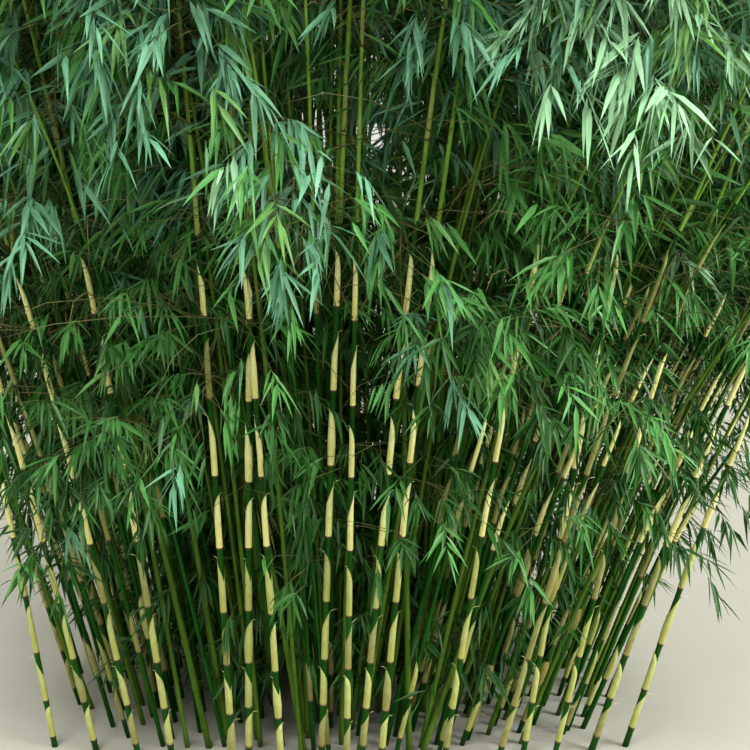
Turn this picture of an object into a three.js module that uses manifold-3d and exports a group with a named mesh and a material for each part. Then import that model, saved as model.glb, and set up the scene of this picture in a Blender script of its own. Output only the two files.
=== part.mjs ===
// A clump of umbrella bamboo rooted in open ground, in millimetres, +Z up.
// Canes stand close together at the ground and fan out into a wide leafy crown. A row of single canes
// closes the front, and tufts of six canes that share one foot fill the clump behind it. Each mass of
// foliage is a side branch of one cane, with its twigs and sprays of leaves. The origin is the flat cut
// under the main cane, which is the first cane of the first tuft.
import * as THREE from "three";
import { mergeVertices } from "three/addons/utils/BufferGeometryUtils.js";
import Module from "manifold-3d";

const wasm = await Module();
wasm.setup();

const DEGREE = Math.PI / 180;
const FULL_TURN = 2 * Math.PI;
const GOLDEN_ANGLE = Math.PI * (3 - Math.sqrt(5));

// The crown: its height, where it is widest, and how far it reaches to the side, front and back
const CROWN_TOP = 3560;
const CROWN_WAIST = 2350;
const CROWN_FOOT = 720;
const CROWN_REACH = 1720;
const CROWN_REACH_AT_FOOT = 1380;
const CROWN_DEPTH_RATIO = 0.94;
const CANES_BELOW_TOP = 120;

// The canes: their feet, lean and thickness
const CLUMP_HALF_WIDTH = 640;
const CLUMP_HALF_DEPTH = 400;
const TUFT_COUNT = 16;
const TUFT_CANES = 6;
const TUFT_SPREAD = 10;
const TUFT_FAN = 3.6;
const RIM_LEAN = 12.5;
const CANE_DROOP = 10;
const DROOP_PER_LEAN = 1;
const CANE_RADIUS = 7.6;
const CANE_TIP_RADIUS = 1.3;
const CANE_SIDES = 4;
const CANE_STEPS = 5;
const CANE_SEED = 586006;

// The row of single canes that closes the clump in front, from left to right:
// the foot's distance to the right of the main cane, the lean to the right in degrees, and the cane's age
const FRONT_ROW_Y = -545;
const FRONT_ROW_BOW = 95;
const FRONT_LEAN = 9;
const OLD_SET_BACK = 70;
const OLD_FRONT_LEAN = 6;
const FRONT_CANES = [
  [-706, -5, "young"],
  [-600, -8, "young"],
  [-494, -7, "young"],
  [-409, -4.5, "young"],
  [-329, -9, "old"],
  [-262, -0.5, "young"],
  [-225, 2, "young"],
  [-145, -1.6, "young"],
  [-95, -7.3, "old"],
  [-52, 2.3, "young"],
  [8, 1.2, "young"],
  [42, 4.5, "young"],
  [88, 4.3, "young"],
  [157, -1.1, "old"],
  [190, 17, "old"],
  [236, 6.6, "young"],
  [365, 12, "young"],
  [427, 6, "young"],
  [506, 9.2, "young"],
  [600, 13.9, "young"],
  [686, 13, "young"],
];

// The foliage: rings of masses round the crown. Each ring has its heights above the ground, its number
// of sectors, its turn as a share of one sector, how high its stems leave their canes as a share of its
// height, their rise in radians, and the lengths of its stems and twigs.
const RINGS = {
  low: { from: 600, to: 1450, sectors: 7, turn: 0.5, root: 0.45, rise: 0.5, stem: 800, twig: 380 },
  middle: { from: 1450, to: 2150, sectors: 7, turn: 0, root: 0.35, rise: 0.7, stem: 900, twig: 420 },
  high: { from: 2150, to: 2830, sectors: 6, turn: 0.5, root: 0.25, rise: 0.8, stem: 950, twig: 440 },
  top: { from: 2830, to: CROWN_TOP, sectors: 3, turn: 0, root: 0.1, rise: 1.1, stem: 800, twig: 400 },
};
const MASS_DISTANCE = 0.66;
const CELL_MARGIN = 3;
const CLEARANCE = 1.2;
const JOINT_GAP = 0.3;
const STEM_RADIUS = 6;
const STEM_TIP_RADIUS = 3.4;
const TWIG_RADIUS = 4.2;
const TWIG_TIP_RADIUS = 2.6;
const TWIGS_PER_STEM = 4;
const SPRAY_LENGTH = 430;
const SPRAY_WIDTH = 92;
const SPRAY_THICKNESS = 5;
const SPRAY_SHOULDER = -0.36;
const TWIG_SIDES = 3;
const STEM_STEPS = 4;
const TWIG_STEPS = 2;
const TRIES = 14;
const STEM_SAG = 0.35;
const HIGHEST_ROOT = 0.9;

// Where the sprays leave a stem or a twig: the share of its length, and the side
const STEM_SPRAYS = [
  [0.97, 0.2],
  [0.5, -1],
  [0.75, 1],
];
const TWIG_SPRAYS = [
  [0.96, 0.3],
  [0.45, 1],
  [0.7, -1],
];

const CANE_MATERIALS = {
  young: new THREE.MeshStandardMaterial({ color: "#d9cf8c", roughness: 0.55, metalness: 0 }),
  old: new THREE.MeshStandardMaterial({ color: "#4f7a2c", roughness: 0.45, metalness: 0 }),
};
const FOLIAGE = new THREE.MeshStandardMaterial({ color: "#2f6b35", roughness: 0.6, metalness: 0 });

// Repeatable random numbers between low and high.
function randomFrom(seed) {
  let state = seed;
  return (low, high) => {
    state = (state * 16807) % 2147483647;
    return low + ((high - low) * state) / 2147483647;
  };
}

// How far the crown reaches from its middle at a height.
function crownReach(height) {
  if (height > CROWN_WAIST) {
    const rise = (height - CROWN_WAIST) / (CROWN_TOP - CROWN_WAIST);
    return CROWN_REACH * Math.sqrt(Math.max(0, 1 - rise ** 2.4));
  }
  const drop = (CROWN_WAIST - height) / (CROWN_WAIST - CROWN_FOOT);
  return CROWN_REACH - (CROWN_REACH - CROWN_REACH_AT_FOOT) * Math.min(1.2, drop) ** 1.4;
}

function withinCrown(point) {
  return Math.hypot(point.x, point.y / CROWN_DEPTH_RATIO) <= crownReach(point.z) && point.z <= CROWN_TOP;
}

// A limb lies in one upright plane: it sets off at its rise and droops more and more towards its tip.
function limbPoint(limb, t) {
  const { rise, droop, length } = limb;
  const bend = t ** 3 / 3;
  const out = length * (Math.cos(rise) * t + (Math.cos(rise - droop) - Math.cos(rise)) * bend);
  const up = length * (Math.sin(rise) * t + (Math.sin(rise - droop) - Math.sin(rise)) * bend);
  const ahead = new THREE.Vector3(Math.cos(limb.heading), Math.sin(limb.heading), 0);
  return limb.start.clone().addScaledVector(ahead, out).add(new THREE.Vector3(0, 0, up));
}

function limbDirection(limb, t) {
  const { rise, droop, heading } = limb;
  const out = Math.cos(rise) + (Math.cos(rise - droop) - Math.cos(rise)) * t * t;
  const up = Math.sin(rise) + (Math.sin(rise - droop) - Math.sin(rise)) * t * t;
  return new THREE.Vector3(out * Math.cos(heading), out * Math.sin(heading), up).normalize();
}

function limbRadius(limb, t) {
  return limb.radius + (limb.tipRadius - limb.radius) * t;
}

// The rings' middles, from root to tip.
function limbLine(limb) {
  return Array.from({ length: limb.steps + 1 }, (_, i) => limbPoint(limb, i / limb.steps));
}

// A point on the middle line of a limb's solid, which is straight between its rings.
function innerPoint(limb, t) {
  const ring = Math.min(Math.floor(t * limb.steps), limb.steps - 1);
  const below = limbPoint(limb, ring / limb.steps);
  const above = limbPoint(limb, (ring + 1) / limb.steps);
  return below.lerp(above, t * limb.steps - ring);
}

// A closed geometry as a solid that can be joined to others.
function solidOf(geometry) {
  geometry.deleteAttribute("normal");
  geometry.deleteAttribute("uv");
  const merged = mergeVertices(geometry, 1e-3);
  return new wasm.Manifold(
    new wasm.Mesh({
      numProp: 3,
      vertProperties: new Float32Array(merged.getAttribute("position").array),
      triVerts: new Uint32Array(merged.index.array),
    }),
  );
}

// A straight cylinder bent and tapered to follow a limb. A standing limb has a level foot.
function limbSolid(limb, sides) {
  const geometry = new THREE.CylinderGeometry(1, 1, 1, sides, limb.steps);
  const position = geometry.getAttribute("position");
  const across = new THREE.Vector3(-Math.sin(limb.heading), Math.cos(limb.heading), 0);
  const up = new THREE.Vector3(0, 0, 1);
  for (let i = 0; i < position.count; i++) {
    const t = position.getY(i) + 0.5;
    const along = limb.standing && t < 1e-6 ? up : limbDirection(limb, t);
    const front = across.clone().cross(along);
    const radius = limbRadius(limb, t);
    const point = limbPoint(limb, t)
      .addScaledVector(across, position.getX(i) * radius)
      .addScaledVector(front, position.getZ(i) * radius);
    position.setXYZ(i, point.x, point.y, point.z);
  }
  return solidOf(geometry);
}

// A spray of leaves as one lance-shaped blade of eight faces, widest near its root.
function spraySolid(spray) {
  const geometry = new THREE.OctahedronGeometry(1, 0);
  const position = geometry.getAttribute("position");
  const across = new THREE.Vector3(-spray.direction.y, spray.direction.x, 0).normalize();
  const normal = spray.direction.clone().cross(across);
  for (let i = 0; i < position.count; i++) {
    const belt = Math.abs(position.getX(i)) < 0.5;
    const along = belt ? SPRAY_SHOULDER : position.getX(i);
    const point = spray.root
      .clone()
      .addScaledVector(spray.direction, ((along + 1) * spray.length) / 2)
      .addScaledVector(across, (position.getY(i) * spray.width) / 2)
      .addScaledVector(normal, (position.getZ(i) * SPRAY_THICKNESS) / 2);
    position.setXYZ(i, point.x, point.y, point.z);
  }
  return solidOf(geometry);
}

function meshOf(name, solid, material) {
  const { vertProperties, triVerts } = solid.getMesh();
  const geometry = new THREE.BufferGeometry()
    .setAttribute("position", new THREE.BufferAttribute(vertProperties, 3))
    .setIndex(new THREE.BufferAttribute(triVerts, 1));
  geometry.computeVertexNormals();
  const mesh = new THREE.Mesh(geometry, material);
  mesh.name = name;
  return mesh;
}

// A share of the longest length that keeps a cane's tip inside the crown.
function caneLength(cane, share) {
  let length = CROWN_TOP;
  let tip = limbPoint({ ...cane, length }, 1);
  while (!withinCrown(tip) || tip.z > CROWN_TOP - CANES_BELOW_TOP) {
    length -= 20;
    tip = limbPoint({ ...cane, length }, 1);
  }
  return length * share;
}

// A cane from its foot, its lean to the right and to the back in degrees, and its age.
function growCane(x, y, leanRight, leanBack, age, random) {
  const right = Math.tan(leanRight * DEGREE);
  const back = Math.tan(leanBack * DEGREE);
  const lean = Math.atan(Math.hypot(right, back));
  const cane = {
    start: new THREE.Vector3(x, y, 0),
    standing: true,
    heading: Math.atan2(back, right),
    rise: Math.PI / 2 - lean,
    droop: (CANE_DROOP * DEGREE + DROOP_PER_LEAN * lean) * random(0.75, 1.25),
    radius: CANE_RADIUS * random(0.86, 1.08),
    tipRadius: CANE_TIP_RADIUS,
    steps: CANE_STEPS,
    age,
  };
  cane.length = caneLength(cane, random(0.84, 1));
  return cane;
}

function growFrontRow(random) {
  return FRONT_CANES.map(([x, leanRight, age]) => {
    const end = (x / FRONT_CANES[0][0]) ** 2;
    const y = FRONT_ROW_Y + FRONT_ROW_BOW * end + (age === "old" ? OLD_SET_BACK : 0);
    const leanFront = (age === "old" ? OLD_FRONT_LEAN : FRONT_LEAN) - 3 * end;
    return growCane(x, y + random(-12, 12), leanRight, -leanFront, age, random);
  });
}

// The tufts stand in a spiral, so that they spread evenly, and lean away from the middle of the clump.
function growTufts(random) {
  return Array.from({ length: TUFT_COUNT }, (_, i) => {
    const ring = i === 0 ? 0 : Math.sqrt((i + 0.35) / TUFT_COUNT);
    const angle = i * GOLDEN_ANGLE + random(-0.12, 0.12);
    const x = CLUMP_HALF_WIDTH * ring * Math.cos(angle);
    const y = CLUMP_HALF_DEPTH * ring * Math.sin(angle) + (i === 0 ? 0 : 40);
    const leanRight = RIM_LEAN * ring * Math.cos(angle) + random(-1, 1);
    const leanBack = RIM_LEAN * ring * Math.sin(angle) + random(-1, 1);
    const age = i % 3 === 1 ? "old" : "young";
    const turn = random(0, FULL_TURN);
    return Array.from({ length: TUFT_CANES }, (_, n) => {
      const side = turn + (n * FULL_TURN) / TUFT_CANES;
      const apart = i === 0 && n === 0 ? 0 : TUFT_SPREAD;
      const fan = TUFT_FAN * random(0.3, 1);
      return growCane(
        x + apart * Math.cos(side),
        y + apart * Math.sin(side),
        leanRight + fan * Math.cos(side),
        leanBack + fan * Math.sin(side),
        age,
        random,
      );
    });
  });
}

// The shortest distance between two straight stretches.
function stretchGap(a, b, c, d) {
  const u = b.clone().sub(a);
  const v = d.clone().sub(c);
  const w = a.clone().sub(c);
  const uu = u.dot(u);
  const uv = u.dot(v);
  const vv = v.dot(v);
  const uw = u.dot(w);
  const vw = v.dot(w);
  const spread = uu * vv - uv * uv;
  let s = spread > 1e-9 ? THREE.MathUtils.clamp((uv * vw - vv * uw) / spread, 0, 1) : 0;
  const t = THREE.MathUtils.clamp((uv * s + vw) / vv, 0, 1);
  s = THREE.MathUtils.clamp((uv * t - uw) / uu, 0, 1);
  return a.clone().addScaledVector(u, s).distanceTo(c.clone().addScaledVector(v, t));
}

// Whether a limb along a line of points stays clear of every one of the canes.
function clearOfCanes(line, reach, canes) {
  return canes.every((cane) =>
    cane.line.every((point, k) => {
      if (k === 0) return true;
      const radius = limbRadius(cane, (k - 1) / (cane.line.length - 1));
      return line.every((end, n) => {
        if (n === 0) return true;
        const room = reach + radius + CLEARANCE;
        return stretchGap(line[n - 1], end, cane.line[k - 1], point) > room;
      });
    }),
  );
}

// The space that one mass keeps to: a sector of the crown between two heights.
function cellHolds(cell, point, reach) {
  const angle = Math.atan2(point.y / CROWN_DEPTH_RATIO, point.x) - cell.angle;
  const turn = Math.abs(Math.atan2(Math.sin(angle), Math.cos(angle)));
  const side = Math.hypot(point.x, point.y) * Math.sin(cell.halfAngle - turn);
  const level = point.z > cell.from + CELL_MARGIN && point.z < cell.to - CELL_MARGIN;
  return turn < cell.halfAngle && side > CELL_MARGIN + reach && level && withinCrown(point);
}

// The point round which a mass should lie.
function cellMiddle(cell) {
  const height = (cell.from + cell.to) / 2;
  const distance = MASS_DISTANCE * crownReach(height);
  return new THREE.Vector3(
    distance * Math.cos(cell.angle),
    distance * Math.sin(cell.angle) * CROWN_DEPTH_RATIO,
    height,
  );
}

// Whether a limb or spray along a line of points stays in its mass's space and off the canes.
function fits(line, reach, cell, canes) {
  const edges = line.flatMap((point) =>
    [-1, 1].map((side) => point.clone().add(new THREE.Vector3(0, 0, side * reach))),
  );
  return edges.every((point) => cellHolds(cell, point, reach)) && clearOfCanes(line, reach, canes);
}

// A side branch that may carry a mass: it leaves a cane near a height, clear of it by the joint's gap.
function stemFrom(cane, rootHeight, cell, random) {
  const t = (rootHeight / cane.length) * random(0.94, 1.14);
  const heading = cell.angle + random(-0.35, 0.35) * cell.halfAngle;
  const rise = cell.rise * random(0.6, 1.3);
  const ahead = new THREE.Vector3(Math.cos(heading), Math.sin(heading), 0);
  const away = ahead.projectOnPlane(limbDirection(cane, t)).normalize();
  const leaving = limbDirection({ heading, rise, droop: 0 }, 0).dot(away);
  const gap = limbRadius(cane, t) + JOINT_GAP + STEM_RADIUS * Math.sqrt(1 - leaving * leaving);
  const stem = {
    start: innerPoint(cane, Math.min(t, 1)).addScaledVector(away, gap),
    heading,
    rise,
    droop: rise + STEM_SAG,
    length: cell.stemLength,
    radius: STEM_RADIUS,
    tipRadius: STEM_TIP_RADIUS,
    steps: STEM_STEPS,
  };
  while (stem.length > 200 && !withinCrown(limbPoint(stem, 1.12))) stem.length -= 30;
  return t < HIGHEST_ROOT ? stem : null;
}

// The best of many side branches: a long one whose middle is near its cell's middle.
function growStem(cell, canes, random) {
  const rootHeight = THREE.MathUtils.lerp(cell.from, cell.to, cell.rootLevel);
  const middle = cellMiddle(cell);
  let best = null;
  let bestMerit = -Infinity;
  for (const cane of canes) {
    const others = canes.filter((other) => other !== cane);
    for (let i = 0; i < TRIES; i++) {
      const stem = stemFrom(cane, rootHeight, cell, random);
      if (!stem) continue;
      const line = limbLine(stem);
      const merit = stem.length - limbPoint(stem, 0.6).distanceTo(middle);
      if (merit <= bestMerit || !fits(line, STEM_RADIUS, cell, others)) continue;
      if (!clearOfCanes(line.slice(1), STEM_RADIUS, [cane])) continue;
      bestMerit = merit;
      best = stem;
    }
  }
  return best;
}

// One spray at a point of its twig, hanging by more or less, or nothing where it has no room.
function growSpray(bearer, t, side, cell, canes, random) {
  for (let i = 0; i < TRIES; i++) {
    const heading = bearer.heading + side * random(0.25, 1.1);
    const fall = random(-0.1, 1.15);
    const direction = new THREE.Vector3(
      Math.cos(heading) * Math.cos(fall),
      Math.sin(heading) * Math.cos(fall),
      -Math.sin(fall),
    );
    const length = SPRAY_LENGTH * random(0.8, 1.12);
    const root = innerPoint(bearer, t).addScaledVector(direction, -0.5 * limbRadius(bearer, t));
    const tip = root.clone().addScaledVector(direction, length);
    const middle = root.clone().addScaledVector(direction, length / 2);
    const line = [root.clone().addScaledVector(direction, 12), middle, tip];
    if (fits(line, SPRAY_WIDTH / 2, cell, canes)) {
      return { root, direction, length, width: SPRAY_WIDTH * random(0.85, 1.15) };
    }
  }
  return null;
}

function growTwig(stem, share, side, cell, canes, random) {
  for (let i = 0; i < TRIES; i++) {
    const twig = {
      start: innerPoint(stem, share),
      heading: stem.heading + side * random(0.45, 1.25),
      rise: random(-0.35, 0.75),
      droop: random(0.3, 0.8),
      length: cell.twigLength * random(0.6, 1.1),
      radius: TWIG_RADIUS,
      tipRadius: TWIG_TIP_RADIUS,
      steps: TWIG_STEPS,
    };
    if (fits(limbLine(twig), TWIG_RADIUS, cell, canes)) return twig;
  }
  return null;
}

// A mass of foliage: a stem, twigs on alternate sides of it, and sprays of leaves on the twigs.
function growMass(cell, canes, random) {
  const stem = growStem(cell, canes, random);
  if (!stem) throw new Error("no cane can carry the mass " + cell.name);
  let mass = limbSolid(stem, TWIG_SIDES);
  const bearers = [stem];
  for (let i = 0; i < TWIGS_PER_STEM; i++) {
    const share = (i + 1) / (TWIGS_PER_STEM + 1);
    const twig = growTwig(stem, share, i % 2 ? 1 : -1, cell, canes, random);
    if (twig) {
      mass = mass.add(limbSolid(twig, TWIG_SIDES));
      bearers.push(twig);
    }
  }
  for (const bearer of bearers) {
    for (const [share, side] of bearer === stem ? STEM_SPRAYS : TWIG_SPRAYS) {
      const spray = growSpray(bearer, share, side, cell, canes, random);
      if (spray) mass = mass.add(spraySolid(spray));
    }
  }
  return mass;
}

function foliageCells() {
  return Object.entries(RINGS).flatMap(([name, ring]) =>
    Array.from({ length: ring.sectors }, (_, i) => {
      const width = FULL_TURN / ring.sectors;
      return {
        name: "foliage_" + name + "_" + (i + 1),
        from: ring.from,
        to: ring.to,
        angle: (i + ring.turn) * width - FULL_TURN / 4,
        halfAngle: width / 2,
        rootLevel: ring.root,
        rise: ring.rise,
        stemLength: ring.stem,
        twigLength: ring.twig,
      };
    }),
  );
}

const clump = new THREE.Group();
const random = randomFrom(CANE_SEED);
const frontRow = growFrontRow(random);
const tufts = growTufts(random);
const canes = [...frontRow, ...tufts.flat()];
for (const cane of canes) cane.line = limbLine(cane);

frontRow.forEach((cane, i) => {
  clump.add(meshOf("cane_" + (i + 1), limbSolid(cane, CANE_SIDES), CANE_MATERIALS[cane.age]));
});
tufts.forEach((tuft, i) => {
  const solid = tuft.map((cane) => limbSolid(cane, CANE_SIDES)).reduce((whole, cane) => whole.add(cane));
  clump.add(meshOf("tuft_" + (i + 1), solid, CANE_MATERIALS[tuft[0].age]));
});
foliageCells().forEach((cell, i) => {
  clump.add(meshOf(cell.name, growMass(cell, canes, randomFrom(101 + i)), FOLIAGE));
});

export default clump;
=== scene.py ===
import collections
import functools
import math

import bmesh
import bpy
import numpy as np
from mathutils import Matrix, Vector


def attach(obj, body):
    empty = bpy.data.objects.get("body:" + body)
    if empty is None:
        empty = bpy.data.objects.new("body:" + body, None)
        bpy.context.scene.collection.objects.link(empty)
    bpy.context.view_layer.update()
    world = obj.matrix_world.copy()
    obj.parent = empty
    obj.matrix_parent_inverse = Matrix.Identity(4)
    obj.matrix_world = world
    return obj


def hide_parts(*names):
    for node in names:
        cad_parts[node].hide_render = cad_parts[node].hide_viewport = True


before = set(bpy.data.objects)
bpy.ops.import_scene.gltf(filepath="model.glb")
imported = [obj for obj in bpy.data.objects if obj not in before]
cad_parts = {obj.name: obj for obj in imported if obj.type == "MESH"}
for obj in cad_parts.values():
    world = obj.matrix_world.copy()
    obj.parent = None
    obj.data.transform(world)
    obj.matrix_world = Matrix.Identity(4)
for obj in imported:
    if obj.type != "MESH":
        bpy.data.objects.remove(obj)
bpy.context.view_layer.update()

bl_info = {
    "name": "Umbrella Bamboo Clump",
    "version": (1, 0, 0),
    "blender": (4, 5, 0),
    "location": "View3D > Sidebar > Bamboo",
    "description": "Grows the canes, sheaths, twigs and leaves of a bamboo clump in its frame",
    "category": "Add Mesh",
}

# The clump grows in millimetres, +Z up, from the flat cut under its main cane. A mesh is made in metres.
# Where a value varies, two numbers give its lowest and highest. Angles are in radians, but the canes' leans,
# fan and droop and the camera's are in degrees. Bands give a value for each stretch from left to right, after
# the stretch's right end.
MM = 0.001
FULL_TURN = 2 * math.pi
GOLDEN_ANGLE = math.pi * (3 - math.sqrt(5))
UP = np.array([0.0, 0.0, 1.0])
RIGHT = np.array([1.0, 0.0, 0.0])
FAR = math.inf

# The crown
CROWN_TOP = 3560
CROWN_WAIST = 2350
CROWN_FOOT = 720
CROWN_REACH = 1720
CROWN_REACH_AT_FOOT = 1380
CROWN_TOP_CURVE = 2.4
CROWN_FOOT_CURVE = 1.4
CROWN_DEPTH_RATIO = 0.94
CANES_BELOW_TOP = 120
CANE_LENGTH_STEP = 20
LEAVES_REACH = 0.955
LEAVES_TOP = 3440
LOWEST_TIP = 90
LOWEST_LEAF = 120
RING_TOPS = (1450, 2150, 2830)
RINGS = {"low": 7, "middle": 7, "high": 6, "top": 3}
RING_TURNS = {"low": 0.5, "middle": 0.0, "high": 0.5, "top": 0.0}

# Where the leaves begin: at the back, how much higher in front, and how much more far out in front, which
# is between two shares of the crown's reach
LEAVES_FOOT = 600
LEAVES_FOOT_IN_FRONT = 270
LEAVES_FOOT_FAR_OUT = 1030
FAR_OUT = (0.5, 0.85)

# The crown's front stands back before the middle canes: as a share of its reach, and how far to the side
# all of it and none of it
RECESS = 0.14
RECESS_FULL = 144
RECESS_END = 384

# The crown's edge is ragged with broad and narrow plumes, how deep each kind is, and how far in the edge
# goes between them. A kind is two waves: turns round the crown, turns up it, and where it starts.
BROAD_PLUMES = ((4, 1.7, 0.6), (-3, 2.3, 1.1))
NARROW_PLUMES = ((11, -4.1, 0), (5, 7.7, 0))
BROAD_DEPTH = 0.38
NARROW_DEPTH = 0.3
PLUME_GAP = 0.17
PLUME_GAP_ABOVE = 260

# All canes
CANE_RADIUS = 7.6
CANE_TIP_RADIUS = 1.3
CANE_DROOP = 10
DROOP_PER_LEAN = 1
CANE_DROOPS = (0.75, 1.25)
CANE_RADII = (0.86, 1.08)
CANE_LENGTHS = (0.84, 1)
CANE_SEED = 586006
CANE_TURNS = (-0.45, 0.45)

# The tufts of canes that share one foot
CLUMP_HALF_WIDTH = 640
CLUMP_HALF_DEPTH = 400
TUFT_COUNT = 16
TUFT_CANES = 6
TUFT_SPREAD = 10
TUFT_FAN = 3.6
TUFT_START = 0.35
TUFT_SHIFT = 0.12
TUFTS_BACK = 40
RIM_LEAN = 12.5

# The row of single canes in front: its middle, how far its ends stand back, and each cane's place from
# left to right, lean to the right and age. The old canes stand further back.
FRONT_ROW_Y = -545
FRONT_ROW_BOW = 95
FRONT_ROW_SHIFT = 12
FRONT_LEAN = 9
FRONT_LEAN_LESS = 3
OLD_SET_BACK = 70
OLD_FRONT_LEAN = 6
FRONT_CANES = [
    (-706, -5, "young"),
    (-600, -8, "young"),
    (-494, -7, "young"),
    (-409, -4.5, "young"),
    (-329, -9, "old"),
    (-262, -0.5, "young"),
    (-225, 2, "young"),
    (-145, -1.6, "young"),
    (-95, -7.3, "old"),
    (-52, 2.3, "young"),
    (8, 1.2, "young"),
    (42, 4.5, "young"),
    (88, 4.3, "young"),
    (157, -1.1, "old"),
    (190, 17, "old"),
    (236, 6.6, "young"),
    (365, 12, "young"),
    (427, 6, "young"),
    (506, 9.2, "young"),
    (600, 13.9, "young"),
    (686, 13, "young"),
]

# The thinner canes that stand between the others, and the share of them that is old
BETWEEN_COUNT = 370
BETWEEN_HALF_WIDTH = 735
BETWEEN_HALF_DEPTH = 490
BETWEEN_SQUARENESS = 0.35
BETWEEN_MIDDLE_Y = -15
BETWEEN_SHIFT = 20
BETWEEN_RADIUS = 6.2
BETWEEN_OLD = ((-430, 0.2), (-330, 0.4), (130, 0.75), (FAR, 0.4))
BETWEEN_LEAN_LEFT = 14
BETWEEN_LEAN_RIGHT = 19
BETWEEN_LEAN_POWER = 0.35
BETWEEN_LEAN_SHIFT = 2.5
BETWEEN_LEAN_BACK_SHIFT = 2
BETWEEN_SHORTER = 0.93
BETWEEN_SHORTER_FROM = 0.5
BETWEEN_SEED = 4211

# The nodes along a cane: the first one, the bare length at the tip, how the distance between two grows
# from the foot up, and how much closer they are at the tip
FIRST_NODE = (26, 60)
NODES_END = 60
NODES_RISE_FROM = 275
NODES_RISE_OVER = 392
NODES_CLOSER = 0.45
NODES_SHIFT = (0.93, 1.07)

# Rings of a cane's surface round each node, as millimetres above it and shares of the cane's radius, and
# the number of sides, for the canes in front, those behind them and those between
FRONT_NODE_RINGS = ((-9, 1.0), (-1.5, 1.08), (0, 1.2), (2, 1.04), (7, 1.12), (16, 1.0))
TUFT_NODE_RINGS = ((-7, 1.0), (0, 1.17), (9, 1.03))
BETWEEN_NODE_RINGS = ((0, 1.17), (9, 1.0))
FRONT_CANE_SIDES = 12
TUFT_CANE_SIDES = 6
BETWEEN_CANE_SIDES = 5
FOOT_SWELL = 1.1

# Above this height a young cane's skin is painted lighter, as painted light on the canes in the crown, and
# few of its sheaths are left
LIT_AND_SHED_ABOVE = 1300

# A sheath's rings as shares of its height, and how far each stands off the cane
FRONT_SHEATH_RINGS = ((0.0, 0.7), (0.025, 0.9), (0.22, 0.35), (0.5, 0.35), (0.8, 0.35), (1.0, 0.3))
TUFT_SHEATH_RINGS = ((0.0, 0.8), (0.03, 1.0), (0.35, 0.7), (0.7, 0.7), (1.0, 0.4))
FRONT_SHEATH_SIDES = 12
TUFT_SHEATH_SIDES = 7
BASE_RING_HEIGHT = 4.0
POINT_OFF_CANE = 1.2

# A sheath's height for the distance between its nodes, at the ground, and how much less that is at a height
SHEATH_SHIFT = (0.96, 1.04)
SHEATH_AT_GROUND = 1.12
SHEATH_LESS = 0.2
SHEATH_LESS_AT = 1000

# Which sheaths are left: the share that is shed behind the front row, low and above, the share that is
# gone where the skin is painted lighter, and the height above which there is none
SHED_LOW = ((-430, 0.4), (100, 0.85), (FAR, 0.55))
SHED_ABOVE = ((-430, 0.4), (100, 0.85), (FAR, 0.35))
SHED_LOW_TO = 500
SHED_HIGH = 0.85
NO_SHEATHS_ABOVE = 1700

# How sheaths look: where they are green, below which height they are painted darker as shade near the ground,
# and the shares of dry ones, which behind the front row are partly painted shade
GREEN_ABOVE = 1200
SHADED_SHEATHS_BELOW = 480
DRY_IN_FRONT = 0.05
DRY_AND_SHADE_BEHIND = ((130, 0.8), (FAR, 0.45))
DRY_LOW = 0.35
DRY_LOW_BELOW = 420

# The canes that are wrapped in long dry sheaths: one in front, and a share of those behind
WRAPPED_CANE = "cane_17"
WRAPPED_SHARE = 0.1
WRAPPED_LONGER = 1.2

# The bulging sheaths: where they are, their share and their heights
BULGING_X = (170, 480)
BULGING_Z = (90, 440)
BULGING_SHARE = 0.28
BULGING_HEIGHTS = (66, 88)
BULGING = 1.15

# How far a loose sheath and a tight one stand off, as shares of the cane's radius, and how many are loose
LOOSE = 0.35
LOOSE_SHARE = 0.12
TIGHT = 0.06

# The thin spur at a sheath's point
SPUR_LENGTH = 16
SPUR_LONGER = 8
SPUR_RADIUS = 0.9
SPUR_TIP_RADIUS = 0.3
SPUR_BEND = 0.9

# The canes' side branches in the crown, how many for each node. Fewer grow deep inside, where they don't
# show, and more in the heart of the crown's top.
BRANCHES = 1.6
BRANCHES_BETWEEN = 0.58
BRANCHES_IN_HEART = 2.4
BRANCHES_FROM = {"old": 820, "young": 960}
BRANCHES_BELOW_TOP = 100
INSIDE_FEWER_FROM = 1.25
INSIDE_FEWER_OVER = 1150
INSIDE_FEWEST = 0.3
SEEN_BEFORE_Y = -250
SEEN_BELOW = 2100
BRANCHING_HEART = 560
BRANCHING_HEART_FROM = 2500
MIDDLE = 250
MIDDLE_SPREAD = 3.0
OUTER_SPREAD = 0.85
SHORTER_HIGH_UP = 0.5
SHORTEST_BRANCH = 90
SHORTEN_STEPS = 24
SHORTEN_BY = 0.92

# The habit of a kind of side branches: rises, how far they droop beyond level, lengths, radii, and the
# radius at the tip. The lengths in the crown are for the middling one.
Habit = collections.namedtuple("Habit", "rises droops lengths radii tip_radius")
CROWN_HABIT = Habit((0.15, 0.95), (0.2, 1.0), (0.6, 1.45), (1.2, 1.8), 0.6)
SHADED_HABIT = Habit((0.1, 0.9), (0.3, 1.0), (110, 260), (1.3, 1.9), 0.7)
LOW_HABIT = Habit((0.0, 0.7), (0.3, 1.0), (130, 300), (1.3, 1.8), 0.7)

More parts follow.
